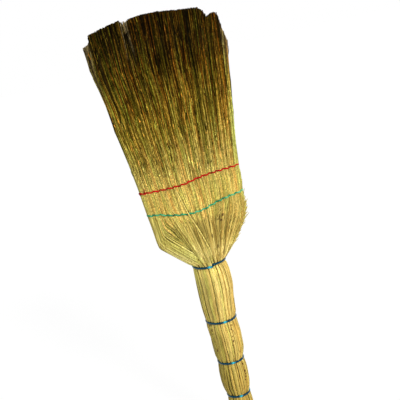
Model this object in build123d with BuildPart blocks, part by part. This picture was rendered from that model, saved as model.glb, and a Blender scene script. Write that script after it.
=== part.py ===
from build123d import *
import math
import os
import random

# A hand-tied corn broom, standing on its butt with the bristles up. Twelve bundles of sorghum
# straw, six across and two deep, make the round handle, the flared shoulders and the fan. Wire ties
# hold the handle, two rows of thread hold the fan flat, and above the upper row the straw is loose
# and bends as one brush. +Z runs along the handle to the tips, X across the fan and Y through it,
# the front faces -Y, and the origin is the middle of the butt face. Sizes are in millimetres.

# Handle: the straw's radius at the butt, beside each tie, and at the widest place under each tie
butt_radius = 21.0
butt_tie_radius = 20.8
lower_tie_radius = 21.2
middle_tie_radius = 23.8
upper_tie_radius = 27.5
neck_tie_radius = 29.0
butt_belly = 21.6
lower_belly = 22.6
middle_belly = 24.4
upper_belly = 26.6
neck_belly = 30.6

# Handle: from the butt face to the first tie, and from each tie to the next
butt_span = 38.0
lower_span = 62.0
middle_span = 69.0
upper_span = 82.0
neck_span = 109.0
neck_lean = 3.7

# Fan: rises above the neck tie, and reaches to the left and right of the axis
flare_rise = 13.0
left_flare_reach = 45.0
right_flare_reach = 43.0
left_shoulder_rise = 48.0
left_shoulder_reach = 80.0
right_shoulder_rise = 66.0
right_shoulder_reach = 82.0
head_length = 446.0
left_tip_reach = 127.0
right_tip_reach = 122.0

# Fan: half of its thickness from the neck to the tips, and how square its section is
flare_half_depth = 29.5
shoulder_half_depth = 29.5
green_half_depth = 24.5
red_half_depth = 21.5
tip_half_depth = 26.0
fan_squareness = 2.6

# Bundles: where they part across the fan, as shares of its half width, and their stalks
column_names = ("left_shoulder", "left", "mid_left", "mid_right", "right", "right_shoulder")
column_edges = (-1.0, -0.70, -0.40, 0.02, 0.42, 0.79, 1.0)
stalks_across = 4
stalk_crown = 0.8
bundle_gap = 0.3
heart_share = 0.55

# Wire ties: one turn of coated wire each, its ends side by side
wire_diameter = 3.0
wire_bite = 2.6
wire_overlap = 25.0
wire_arcs = 4
turn_gap = 0.8
tie_clearance = 0.3
neck_tie_ends = -78.0
other_tie_ends = 90.0

# Stitch rows: rise at the edges, slope across the fan and sag in the middle, and the thread
green_rise = 112.0
green_slope = 0.075
green_sag = 8.5
red_rise = 154.5
red_slope = 0.04
red_sag = 0.0
thread_diameter = 2.4
thread_zigzag = 0.8
thread_clearance = 0.3
thread_start = 2
thread_overlap = 1

# Bending: the straw above the red row turns about an axis across the fan
parting_rise = 14.5
parting_gap = 0.3
flex_radius = 40.0

# Loose straw: a slice of the bundle with straight tapered strands on it, and how far the cut lies
# below the longest straw at each share of the half width
slice_edge = 9.0
root_depth = 3.0
strand_pitch = 4.9
row_pitch = 3.7
row_lean = 0.25
root_fill = 0.80
tip_fill = 0.46
tip_ragged = 7.0
ragged_seed = 7
trim_drops = (
    (-1.0, 42.0),
    (-0.88, 12.0),
    (-0.70, 7.0),
    (-0.45, 1.0),
    (-0.39, 12.0),
    (-0.33, 3.0),
    (0.02, 0.0),
    (0.42, 5.0),
    (0.67, 9.0),
    (0.79, 23.0),
    (0.91, 23.0),
    (1.0, 61.0),
)

# Places worked out from the sizes above
wire_radius = wire_diameter / 2
thread_radius = thread_diameter / 2
tie_climb = wire_diameter + turn_gap
tie_seat = tie_climb / 2 + wire_radius + 2 * tie_clearance
butt_tie_z = butt_span
lower_tie_z = butt_tie_z + lower_span
middle_tie_z = lower_tie_z + middle_span
upper_tie_z = middle_tie_z + upper_span
neck_z = upper_tie_z + neck_span
left_shoulder_z = neck_z + left_shoulder_rise
right_shoulder_z = neck_z + right_shoulder_rise
green_z = neck_z + green_rise
red_z = neck_z + red_rise
tip_z = neck_z + head_length

ties = {
    "butt_tie": (butt_tie_z, butt_tie_radius, butt_belly, butt_span, other_tie_ends),
    "lower_tie": (lower_tie_z, lower_tie_radius, lower_belly, lower_span, other_tie_ends),
    "middle_tie": (middle_tie_z, middle_tie_radius, middle_belly, middle_span, other_tie_ends),
    "upper_tie": (upper_tie_z, upper_tie_radius, upper_belly, upper_span, other_tie_ends),
    "neck_tie": (neck_z, neck_tie_radius, neck_belly, neck_span, neck_tie_ends),
}


def along(points, at):
    """Reads a value off straight lines between (place, value) points."""
    pairs = list(zip(points, points[1:]))
    (low, first), (high, last) = next((p for p in pairs if at <= p[1][0]), pairs[-1])
    return first + (last - first) * (at - low) / (high - low)


# The handle's radius: straight barrels between narrow waists that the wire has bitten in
handle_line = [(0.0, butt_radius)]
for tie_z, tie_radius, belly, span, _ in ties.values():
    handle_line.append((tie_z - span / 2, belly))
    handle_line.append((tie_z - tie_seat - wire_bite, tie_radius))
    handle_line.append((tie_z - tie_seat, tie_radius - wire_bite))
    handle_line.append((tie_z + tie_seat, tie_radius - wire_bite))
    handle_line.append((tie_z + tie_seat + wire_bite, tie_radius))
handle_line.pop()
handle_top = neck_z + tie_seat

# The broom's edges and half thickness, from the butt to the tips
lean_line = [(0.0, 0.0), (upper_tie_z, 0.0), (neck_z - tie_seat, neck_lean), (handle_top, neck_lean)]
left_line = [(z, radius - along(lean_line, z)) for z, radius in handle_line]
left_line.append((neck_z + flare_rise, left_flare_reach))
left_line.append((left_shoulder_z, left_shoulder_reach))
left_line.append((tip_z, left_tip_reach))
right_line = [(z, radius + along(lean_line, z)) for z, radius in handle_line]
right_line.append((neck_z + flare_rise, right_flare_reach))
right_line.append((right_shoulder_z, right_shoulder_reach))
right_line.append((tip_z, right_tip_reach))
depth_line = list(handle_line)
depth_line.append((neck_z + flare_rise, flare_half_depth))
depth_line.append((left_shoulder_z, shoulder_half_depth))
depth_line.append((green_z, green_half_depth))
depth_line.append((red_z, red_half_depth))
depth_line.append((tip_z, tip_half_depth))
spread_line = [(handle_top, 0.0), (left_shoulder_z, 1.0)]

# The bending axis, and where the loose straw starts
parting_z = red_z + parting_rise
slice_z = parting_z + slice_edge
root_z = slice_z - root_depth
pivot_z = parting_z + math.sqrt(flex_radius**2 - along(depth_line, parting_z) ** 2)
fan_width = left_tip_reach + right_tip_reach


def section_at(z):
    """Gives the middle, half width, half thickness and spread of the broom's section at a height."""
    left = along(left_line, z)
    right = along(right_line, z)
    spread = min(1.0, max(0.0, along(spread_line, z)))
    return (right - left) / 2, (right + left) / 2, along(depth_line, z), spread


def squareness(spread):
    """Gives the section's power: 2 is the handle's circle, and more is squarer."""
    return 2 + (fan_squareness - 2) * spread


def power(value, exponent):
    """Raises a value to a power and keeps its sign."""
    return math.copysign(abs(value) ** exponent, value)


def edge_angle(edge, spread):
    """Gives the angle of a bundle's edge: even steps in the handle, shares of the width in the fan."""
    handle = math.pi * (1 - edge / len(column_names))
    fan = math.acos(power(column_edges[edge], squareness(spread) / 2))
    return handle + (fan - handle) * spread


def rim_point(z, angle, side):
    """Gives a point of the broom's outline at a height, on the front or the back."""
    middle, half_width, half_depth, spread = section_at(z)
    exponent = 2 / squareness(spread)
    x = middle + half_width * power(math.cos(angle), exponent)
    y = half_depth * power(math.sin(angle), exponent)
    return Vector(x, side * max(y, bundle_gap / 2))


def stalk_points(column, side, z):
    """Gives the outline points between the stalks of one bundle, from left to right."""
    spread = section_at(z)[3]
    first = edge_angle(column, spread)
    step = (edge_angle(column + 1, spread) - first) / stalks_across
    return [rim_point(z, first + step * i, side) for i in range(stalks_across + 1)]


def crest_point(start, end, side, height):
    """Gives the point that stands a height out from the middle of a chord of the outline."""
    chord = end - start
    outward = Vector(chord.Y, -chord.X).normalized() * -side
    return (start + end) / 2 + outward * height


def heart_point(edge, side, z):
    """Gives the inner end of the parting at a bundle's edge, beside the broom's middle plane."""
    middle, half_width, _, spread = section_at(z)
    share = heart_share + (1 - heart_share) * spread
    reach = half_width * power(math.cos(edge_angle(edge, spread)), 2 / squareness(spread))
    return Vector(middle + share * reach, side * bundle_gap / 2)


def parted(heart, rim, side, towards):
    """Moves a parting by half the gap: to the right of its line, or to the left for -1."""
    line = rim - heart
    shift = Vector(line.Y, -line.X).normalized() * (side * towards * bundle_gap / 2)
    return Vector(heart.X + shift.X, heart.Y), rim + shift


def bundle_section(column, side, z):
    """Draws one bundle's section: straight partings inside, a crowned arc for each stalk outside."""
    rim = stalk_points(column, side, z)
    inner = []
    if column > 0:
        heart, rim[0] = parted(heart_point(column, side, z), rim[0], side, 1)
        inner.append(heart)
    if column + 1 < len(column_names):
        heart, rim[-1] = parted(heart_point(column + 1, side, z), rim[-1], side, -1)
        inner.append(heart)
    with BuildSketch(Plane.XY.offset(z)) as section:
        with BuildLine():
            for start, end in zip(rim, rim[1:]):
                ThreePointArc(start, crest_point(start, end, side, stalk_crown), end)
            Polyline(rim[0], *inner, rim[-1])
        make_face()
    return section.sketch


def biarcs(points):
    """Joins points by pairs of tangent arcs. The first and last points only aim the two ends."""
    aims = [(after - before).normalized() for before, after in zip(points, points[2:])]
    stops = points[1:-1]
    for start, end, leave, arrive in zip(stops, stops[1:], aims, aims[1:]):
        chord = end - start
        pull = chord.dot(leave + arrive)
        square = chord.dot(chord)
        reach = square / (pull + math.sqrt(pull**2 + 2 * (1 - leave.dot(arrive)) * square))
        lead = start + leave * reach
        follow = end - arrive * reach
        joint = (lead + follow) / 2
        TangentArc(start, joint, tangent=leave)
        TangentArc(joint, end, tangent=follow - lead)


def least_gap(path, diameter, samples=400):
    """Measures the least gap that a wound tube leaves to itself, on points along its middle."""
    step = path.length / samples
    points = [tuple(path.position_at(i / samples)) for i in range(samples + 1)]
    apart = math.ceil(3 * diameter / step)
    pairs = ((a, b) for i, a in enumerate(points) for b in points[i + apart :])
    return min(math.dist(a, b) for a, b in pairs) - diameter


def tie_points(z, radius, ends):
    """Gives points of one climbing turn round the handle, with a point to aim each end."""
    middle = section_at(z)[0]
    reach = radius - wire_bite + stalk_crown + tie_clearance + wire_radius
    turn = 360 + wire_overlap
    points = []
    for i in range(-1, wire_arcs + 2):
        share = i / wire_arcs
        angle = math.radians(ends + wire_overlap / 2 - turn * (1 - share))
        climb = tie_climb * (share - 0.5) * turn / 360
        points.append(Vector(middle + reach * math.cos(angle), reach * math.sin(angle), z + climb))
    return points


def stitch_place(side, column, stalk, z):
    """Gives the thread's middle over a stalk's crest, or round the fan's edge where side is 0."""
    stand_off = stalk_crown + thread_clearance + thread_radius
    if side:
        rim = stalk_points(column, side, z)
        return crest_point(rim[stalk], rim[stalk + 1], side, stand_off)
    edge = rim_point(z, 0 if column else math.pi, 1)
    return Vector(edge.X + math.copysign(stand_off, edge.X), 0)


def stitch_points(rise, slope, sag):
    """Gives a point over each stalk's crest round the fan, in a zigzag, with one to aim each end."""
    last_column = len(column_names) - 1
    crests = [(column, stalk) for column in range(last_column + 1) for stalk in range(stalks_across)]
    front = [(-1, column, stalk) for column, stalk in crests]
    back = [(1, column, stalk) for column, stalk in reversed(crests)]
    loop = [*front, (0, last_column, 0), *back, (0, 0, 0)]
    stops = len(loop)
    half_width = section_at(neck_z + rise)[1]
    points = []
    for i in range(thread_start - 1, thread_start + stops + thread_overlap + 2):
        stop = loop[i % stops]
        x = stitch_place(*stop, neck_z + rise).X
        z = neck_z + rise + slope * x - sag * (1 - (x / half_width) ** 2)
        place = stitch_place(*stop, z)
        lift = (thread_diameter + turn_gap) * ((i - thread_start) / stops - 0.5)
        zigzag = thread_zigzag * (1 if i % 2 else -1)
        points.append(Vector(place.X, place.Y, z + lift + zigzag))
    return points


def strand_ends(column, side, dice):
    """Lists the strands of one bundle as (x, y, width, thickness, z) at the root and at the tip.

    Strands stand in flat rows from the middle plane out to the outline. Rows lean alternately to the
    left and to the right, so that one covers the gaps of the next.
    """
    left, right = column_edges[column : column + 2]
    across = max(1, round((right - left) * section_at(root_z)[1] / strand_pitch))
    rows = max(2, round(section_at(root_z)[2] / row_pitch))
    cell = (right - left) / across
    strands = []
    for i in range(across):
        share_x = left + cell * (i + 0.5)
        outline = (1 - abs(share_x) ** fan_squareness) ** (1 / fan_squareness)
        for row in range(max(1, round(rows * outline))):
            lean = row_lean * cell * (1 if row % 2 else -1)
            trim = head_length - along(trim_drops, share_x) - tip_ragged * dice.random()
            ends = []
            for z, fill in ((root_z, root_fill), (neck_z + trim, tip_fill)):
                middle, half_width, half_depth, _ = section_at(z)
                place = share_x + lean * (z - root_z) / (tip_z - root_z)
                x = middle + half_width * place
                y = half_depth * (row + 0.5) / rows
                ends.append((x, side * y, fill * cell * half_width, fill * half_depth / rows, z))
            strands.append(ends)
    return strands


os.makedirs("parts", exist_ok=True)
sides = {"front": -1, "back": 1}

# Stalk bundles: handle, shoulder and stitched block, hollowed on top for the bending straw
heights = sorted({z for line in (left_line, right_line, depth_line) for z, _ in line if z <= red_z})
for side_name, side in sides.items():
    for column, column_name in enumerate(column_names):
        with BuildPart() as stalks:
            loft([bundle_section(column, side, z) for z in (*heights, pivot_z)], ruled=True)
            with Locations((0, 0, pivot_z)):
                Cylinder(flex_radius, 2 * fan_width, rotation=(0, 90, 0), mode=Mode.SUBTRACT)
        stalks.part.label = f"{side_name}_{column_name}_stalks"
        export_step(stalks.part, f"parts/{stalks.part.label}.step")

# Bristles: a slice of each bundle, rounded below about the bending axis, with its strands
strand_count = 0
dice = random.Random(ragged_seed)
for side_name, side in sides.items():
    for column, column_name in enumerate(column_names):
        strands = []
        with BuildPart() as bristles:
            slice_ends = (pivot_z - flex_radius, slice_z)
            loft([bundle_section(column, side, z) for z in slice_ends], ruled=True)
            with Locations((0, 0, pivot_z)):
                Cylinder(
                    flex_radius - parting_gap, 2 * fan_width, rotation=(0, 90, 0), mode=Mode.INTERSECT
                )
            for ends in strand_ends(column, side, dice):
                sections = []
                for x, y, width, thickness, z in ends:
                    with BuildSketch(Plane.XY.offset(z), mode=Mode.PRIVATE) as end:
                        with Locations((x, y)):
                            Rectangle(width, thickness)
                    sections.append(end.sketch)
                strands.append(loft(sections, ruled=True, mode=Mode.PRIVATE))
            add(strands)
        strand_count += len(strands)
        bristles.part.label = f"{side_name}_{column_name}_bristles"
        export_step(bristles.part, f"parts/{bristles.part.label}.step")
print("strands", strand_count)

# Wire ties: one climbing turn each, in the waists of the handle
for name, (z, radius, _, _, ends) in ties.items():
    with BuildPart() as tie:
        with BuildLine() as turn:
            biarcs(tie_points(z, radius, ends))
        path = turn.wire()
        with BuildSketch(Plane(path @ 0, z_dir=path % 0)):
            Circle(wire_radius)
        sweep(path=path)
    print(name, "least gap to itself", round(least_gap(path, wire_diameter), 2))
    tie.part.label = name
    export_step(tie.part, f"parts/{name}.step")

# Stitch rows: one turn of thread round the fan each, its ends side by side at the left
stitches = {
    "green_stitch": (green_rise, green_slope, green_sag),
    "red_stitch": (red_rise, red_slope, red_sag),
}
for name, row in stitches.items():
    with BuildPart() as stitch:
        with BuildLine() as turn:
            biarcs(stitch_points(*row))
        path = turn.wire()
        with BuildSketch(Plane(path @ 0, z_dir=path % 0)):
            Circle(thread_radius)
        sweep(path=path)
    print(name, "least gap to itself", round(least_gap(path, thread_diameter), 2))
    stitch.part.label = name
    export_step(stitch.part, f"parts/{name}.step")
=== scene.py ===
"""A hand-tied corn broom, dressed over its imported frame.

Every piece is a surface worked out with numpy in the frame's own metres: round stalks that make the
handle and the shoulders, fine loose straw up to the tips, coated wire ties and two sewn rows of thread.
"""

import logging
import math
from dataclasses import dataclass
from enum import Enum
from typing import ClassVar

import bpy
import numpy as np
from mathutils import Matrix, Vector


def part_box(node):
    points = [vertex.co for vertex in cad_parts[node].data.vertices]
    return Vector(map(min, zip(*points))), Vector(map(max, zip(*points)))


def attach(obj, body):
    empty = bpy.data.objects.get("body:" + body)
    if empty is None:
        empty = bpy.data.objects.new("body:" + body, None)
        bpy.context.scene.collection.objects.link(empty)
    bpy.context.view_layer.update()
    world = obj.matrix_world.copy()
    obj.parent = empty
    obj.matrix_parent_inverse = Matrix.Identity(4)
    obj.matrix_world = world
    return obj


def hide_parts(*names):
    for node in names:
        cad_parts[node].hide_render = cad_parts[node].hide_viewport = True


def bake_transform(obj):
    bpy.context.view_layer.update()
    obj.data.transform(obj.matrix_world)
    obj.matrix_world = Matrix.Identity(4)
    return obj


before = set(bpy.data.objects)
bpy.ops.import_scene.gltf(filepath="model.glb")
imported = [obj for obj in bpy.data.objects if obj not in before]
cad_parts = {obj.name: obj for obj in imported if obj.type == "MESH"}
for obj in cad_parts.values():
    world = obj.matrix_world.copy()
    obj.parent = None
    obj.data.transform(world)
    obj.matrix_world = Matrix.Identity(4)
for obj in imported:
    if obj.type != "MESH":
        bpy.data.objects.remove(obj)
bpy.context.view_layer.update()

log = logging.getLogger("broom")


class Side(Enum):
    """The two faces of the fan."""

    FRONT = -1
    BACK = 1


class Body(Enum):
    """The moving bodies of the frame."""

    HANDLE = "handle"
    BRUSH = "brush"


class Slot(Enum):
    """The record's material slots."""

    STALK = "stalk_straw"
    STRAW = "bristle_straw"
    WIRE = "blue_wire"
    GREEN = "green_thread"
    RED = "red_thread"


Array = np.ndarray
Material = bpy.types.Material
Numbers = tuple[float, ...]
Colour = tuple[float, float, float]
Triple = tuple[float, float, float]
Range = tuple[float, float]
Pairs = tuple[Range, ...]
Triples = tuple[Triple, ...]
Stops = tuple[tuple[float, Colour], ...]
Values = dict[str, Array | float]
Piece = bpy.types.Object
Socket = bpy.types.NodeSocket
Feed = Socket | float | Triple

COLUMNS = ("left_shoulder", "left", "mid_left", "mid_right", "right", "right_shoulder")
COLUMN_EDGES = np.array([-1.0, -0.70, -0.40, 0.02, 0.42, 0.79, 1.0])
STALKS_ROUND = 18
TIES = ("butt_tie", "lower_tie", "middle_tie", "upper_tie", "neck_tie")
UP = np.array([0.0, 0.0, 1.0])
THROUGH = np.array([0.0, 1.0, 0.0])

# Steps whose multiples, less their whole parts, lie evenly between 0 and 1.
EVEN_STEP = 0.618034
EVEN_STEPS = (0.8191725134, 0.7548776662, 0.5497004779)

# The least step from one ring of a strand to the next, and how far the straws' own numbers go.
RING_GAP = 0.0008
STRAW_NUMBERS = 1000

# How dark the straw is in the deepest crease, as painted shade.
CREASE_SHADE = 0.7

# What a lens-shaped strip's s^2 is taken from, a little over 1 so that its ends are blunt.
LENS_BLUNT = 1.02

# The bake map: a strand's least strip, a lid's bit of it, a lid's size in that, and the strip's margin.
BAKE_MAP = "OFBake"
STRIP_WIDTH = 8 / 1024
LID_EDGE = 0.04
LID_SIZE = 0.4
STRIP_MARGIN = 0.06

# The sockets of the node that mixes colours, by number because several share a name.
MIX_FACTOR, MIX_FIRST, MIX_SECOND, MIX_RESULT = 0, 6, 7, 2


def smooth_step(value: Array, low: float, high: float) -> Array:
    """Rises from 0 at low to 1 at high along the cubic 3t^2 - 2t^3 of the part t of that way."""
    t = np.clip((value - low) / (high - low), 0.0, 1.0)
    return t * t * (3.0 - 2.0 * t)


@dataclass(frozen=True)
class Step:
    """A smooth step from 0 at low to its size at high."""

    low: float
    high: float
    size: float = 1.0

    def at(self, value: Array) -> Array:
        """Reads the step at each value."""
        return self.size * smooth_step(value, self.low, self.high)


def unit(vectors: Array) -> Array:
    """Scales vectors on the last axis to length 1."""
    return vectors / np.maximum(np.linalg.norm(vectors, axis=-1, keepdims=True), 1e-12)


def facing(turn: Array, side: Side) -> Array:
    """Gives the direction away from the handle's middle at each angle round it."""
    return np.stack([np.cos(turn), side.value * np.sin(turn), np.zeros_like(turn)], -1)


def lens(way: Array) -> Array:
    """Gives a lens's thickness at each way s along it, from -1 to 1: the root of LENS_BLUNT - s^2."""
    return np.sqrt(LENS_BLUNT - way**2)


def flared(tone: Array, least: float, more: float, power: float) -> Array:
    """Turns a tone from 0 to 1 into a light of which few are bright: least plus more times its power."""
    return least + more * tone**power


def even_tones(dice: np.random.Generator, count: int) -> Array:
    """Gives each stalk a tone from 0 to 1, evenly spread and unlike its neighbour's."""
    return ((EVEN_STEP * np.arange(count) + dice.random()) % 1)[:, None]


def merged(common: Numbers, own: Array, gap: float) -> Array:
    """Puts heights that all strands share and each strand's own ones in order, at least a gap apart.

    Args:
        common: The shared heights.
        own: The own heights, by strand.
        gap: The least step from one height to the next.

    Returns:
        The heights by strand and ring.
    """
    both = np.sort(np.concatenate([np.tile(common, (len(own), 1)), own], 1), 1)
    steps = np.maximum(np.diff(both, axis=1), gap)
    return both[:, :1] + np.concatenate([np.zeros((len(own), 1)), np.cumsum(steps, 1)], 1)


@dataclass(frozen=True)
class SmoothLine:
    """A smooth line through (place, value) knots that never overshoots them."""

    knots: Pairs

    def at(self, place: Array) -> Array:
        """Reads the line: between two knots it is the cubic that has their values and slopes.

        A knot's slope is the harmonic mean of the two chords beside it, and 0 where they turn back.

        Args:
            place: Where to read it. Outside the knots the end values hold.

        Returns:
            The line's value at each place.
        """
        x, y = np.array(self.knots).T
        step = np.diff(x)
        chord = np.diff(y) / step
        onward = chord[:-1] * chord[1:] > 0
        before, after = np.where(onward, chord[:-1], 1.0), np.where(onward, chord[1:], 1.0)
        near, far = 2 * step[1:] + step[:-1], step[1:] + 2 * step[:-1]
        inner = np.where(onward, (near + far) / (near / before + far / after), 0.0)
        slope = np.concatenate([chord[:1], inner, chord[-1:]])
        place = np.clip(place, x[0], x[-1])
        i = np.clip(np.searchsorted(x, place, side="right") - 1, 0, len(step) - 1)
        t, rise = (place - x[i]) / step[i], y[i + 1] - y[i]
        leave, arrive = slope[i] * step[i], slope[i + 1] * step[i]
        return y[i] + t * (leave + t * (3 * rise - 2 * leave - arrive + t * (leave + arrive - 2 * rise)))


@dataclass
class Surface:
    """Four-sided faces worked out as arrays, with their places on the bake map and values by point."""

    points: Array
    faces: Array
    places: Array
    flat: Array
    values: dict[str, Array]

    @staticmethod
    def joined(parts: list["Surface"]) -> "Surface":
        """Joins surfaces into one, each with a band of the bake map as high as its share of the faces.

        Args:
            parts: The surfaces. A value of the first that another lacks is 0 there.

        Returns:
            The one surface.
        """
        starts = np.cumsum([0, *(len(p.points) for p in parts)])
        shares = np.array([len(p.faces) for p in parts], float)
        shares /= shares.sum()
        floors = np.cumsum([0.0, *shares])
        bands = [p.places * (1.0, share) + (0.0, floor) for p, share, floor in zip(parts, shares, floors)]
        return Surface(
            np.concatenate([p.points for p in parts]),
            np.concatenate([p.faces + start for p, start in zip(parts, starts)]),
            np.concatenate(bands),
            np.concatenate([p.flat for p in parts]),
            {
                name: np.concatenate([p.values.get(name, np.zeros(len(p.points))) for p in parts])
                for name in parts[0].values
            },
        )

    def piece(self, name: str, material: Material, slot: Slot) -> Piece:
        """Makes the mesh object, at the origin, with its bake map and values.

        Args:
            name: The piece's name.
            material: Its finish.
            slot: The record's slot for that finish. It is not used.

        Returns:
            The object, linked to the scene.
        """
        mesh = bpy.data.meshes.new(name)
        mesh.vertices.add(len(self.points))
        mesh.vertices.foreach_set("co", self.points.astype(np.float32).ravel())
        mesh.loops.add(self.faces.size)
        mesh.loops.foreach_set("vertex_index", self.faces.astype(np.int32).ravel())
        mesh.polygons.add(len(self.faces))
        mesh.polygons.foreach_set("loop_start", np.arange(0, self.faces.size, 4, dtype=np.int32))
        mesh.update(calc_edges=True)
        mesh.polygons.foreach_set("use_smooth", ~self.flat)
        layer = mesh.uv_layers.new(name=BAKE_MAP)
        layer.uv.foreach_set("vector", self.places.astype(np.float32).ravel())
        for key, value in self.values.items():
            attribute = mesh.attributes.new(key, "FLOAT", "POINT")
            attribute.data.foreach_set("value", value.astype(np.float32).ravel())
        mesh.materials.append(material)
        made = bpy.data.objects.new(name, mesh)
        bpy.context.scene.collection.objects.link(made)
        return made


def on_handle(made: Piece, node: str) -> Piece:
    """Rides a piece on the handle and lets it stand for a node of the frame.

    Args:
        made: The piece.
        node: The node that it replaces.

    Returns:
        The piece.
    """
    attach(made, Body.HANDLE.value)
    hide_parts(node)
    return made


def strip_places(count: int, rings: int, lids: Array, angle: Array) -> Array:
    """Lays strands on the bake map, one strip for each, its walls between its two lids.

    A wall's corner lies at (part of the way round, part of the way along). A lid is the profile
    itself, drawn small in the first or the last bit of the strip.

    Args:
        count: How many strands.
        rings: Rings of each one.
        lids: The corners of both lids' faces, as numbers of the profile's points.
        angle: The angle of each of the profile's points.

    Returns:
        The place of each corner of each face.
    """
    sides = len(angle)
    side = np.arange(sides)
    up = LID_EDGE + (1 - 2 * LID_EDGE) * (np.arange(rings) / (rings - 1))
    wall_u = np.stack([side, side + 1, side + 1, side], -1)[None].repeat(rings - 1, 0) / sides
    wall_v = np.stack([up[:-1], up[:-1], up[1:], up[1:]], -1)[:, None].repeat(sides, 1)
    lid_u = 0.5 + LID_SIZE * np.cos(angle)[lids]
    lid_v = LID_EDGE * (0.5 + LID_SIZE * np.sin(angle)[lids])
    lid_v[len(lids) // 2 :] += 1 - LID_EDGE
    across = np.concatenate([wall_u.reshape(-1, 4), lid_u])
    along = np.concatenate([wall_v.reshape(-1, 4), lid_v])
    inside = np.stack([STRIP_MARGIN + (1 - 2 * STRIP_MARGIN) * across, along], -1)
    rows = max(1, math.ceil(count * STRIP_WIDTH))
    columns = math.ceil(count / rows)
    number = np.arange(count)
    corner = np.stack([number % columns, number // columns], -1)[:, None, None]
    return ((corner + inside) / (columns, rows)).reshape(-1, 4, 2)


def strands(
    paths: Array,
    radii: Array,
    sides: int,
    values: Values,
    steady: Array = THROUGH,
    oval: Array | float = 1.0,
    fullness: float = 1.0,
) -> Surface:
    """Carries a round profile along many paths at once and closes both ends of each.

    A point of a strand is its path's point plus radius times (cos a, oval times sin a) on two
    directions square to the path: the steady one, made square to it, and the one across both.
    Both are raised to the power of the fullness, which squares the profile below 1.

    Args:
        paths: Points of the middle lines, by strand and ring.
        radii: Radius by strand and ring.
        sides: Sides of the profile, an even number.
        values: What the finish reads, by strand and ring, by strand and 1, or one for all.
        steady: A direction that no path runs along, one for all or one by strand.
        oval: Width across the steady direction over thickness along it, one for all or by strand and ring.
        fullness: The profile's power, 1 for an ellipse.

    Returns:
        The surface, with one strip of the bake map for each strand.
    """
    count, rings = radii.shape
    ahead = unit(np.gradient(paths, axis=1))
    out = unit(steady - (ahead * steady).sum(-1, keepdims=True) * ahead)
    across = np.cross(ahead, out)
    angle = np.arange(sides) * 2 * np.pi / sides
    along_out, along_across = (np.sign(a) * np.abs(a) ** fullness for a in (np.cos(angle), np.sin(angle)))
    wide = np.broadcast_to(oval, radii.shape)[..., None, None]
    profile = out[:, :, None] * along_out[:, None] + across[:, :, None] * wide * along_across[:, None]
    points = paths[:, :, None] + profile * radii[..., None, None]

    first = np.arange(count)[:, None, None] * rings * sides
    ring, side = np.arange(rings - 1)[:, None] * sides, np.arange(sides)
    after = (side + 1) % sides
    walls = np.stack([ring + side, ring + after, ring + sides + after, ring + sides + side], -1)
    half = np.arange(sides // 2 - 1)
    lid = np.stack([half, half + 1, sides - 2 - half, sides - 1 - half], -1)
    ends = np.concatenate([lid[:, ::-1], lid + (rings - 1) * sides])
    one = np.concatenate([walls.reshape(-1, 4), ends])
    faces = (first + one).reshape(-1, 4)
    places = strip_places(count, rings, np.concatenate([lid[:, ::-1], lid]), angle)

    flat = np.tile(np.arange(len(one)) >= walls.shape[0] * sides, count)
    by_point = {
        name: np.broadcast_to(value, (count, rings))[..., None].repeat(sides, 2).ravel()
        for name, value in values.items()
    }
    return Surface(points.reshape(-1, 3), faces, places, flat, by_point)


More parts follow.
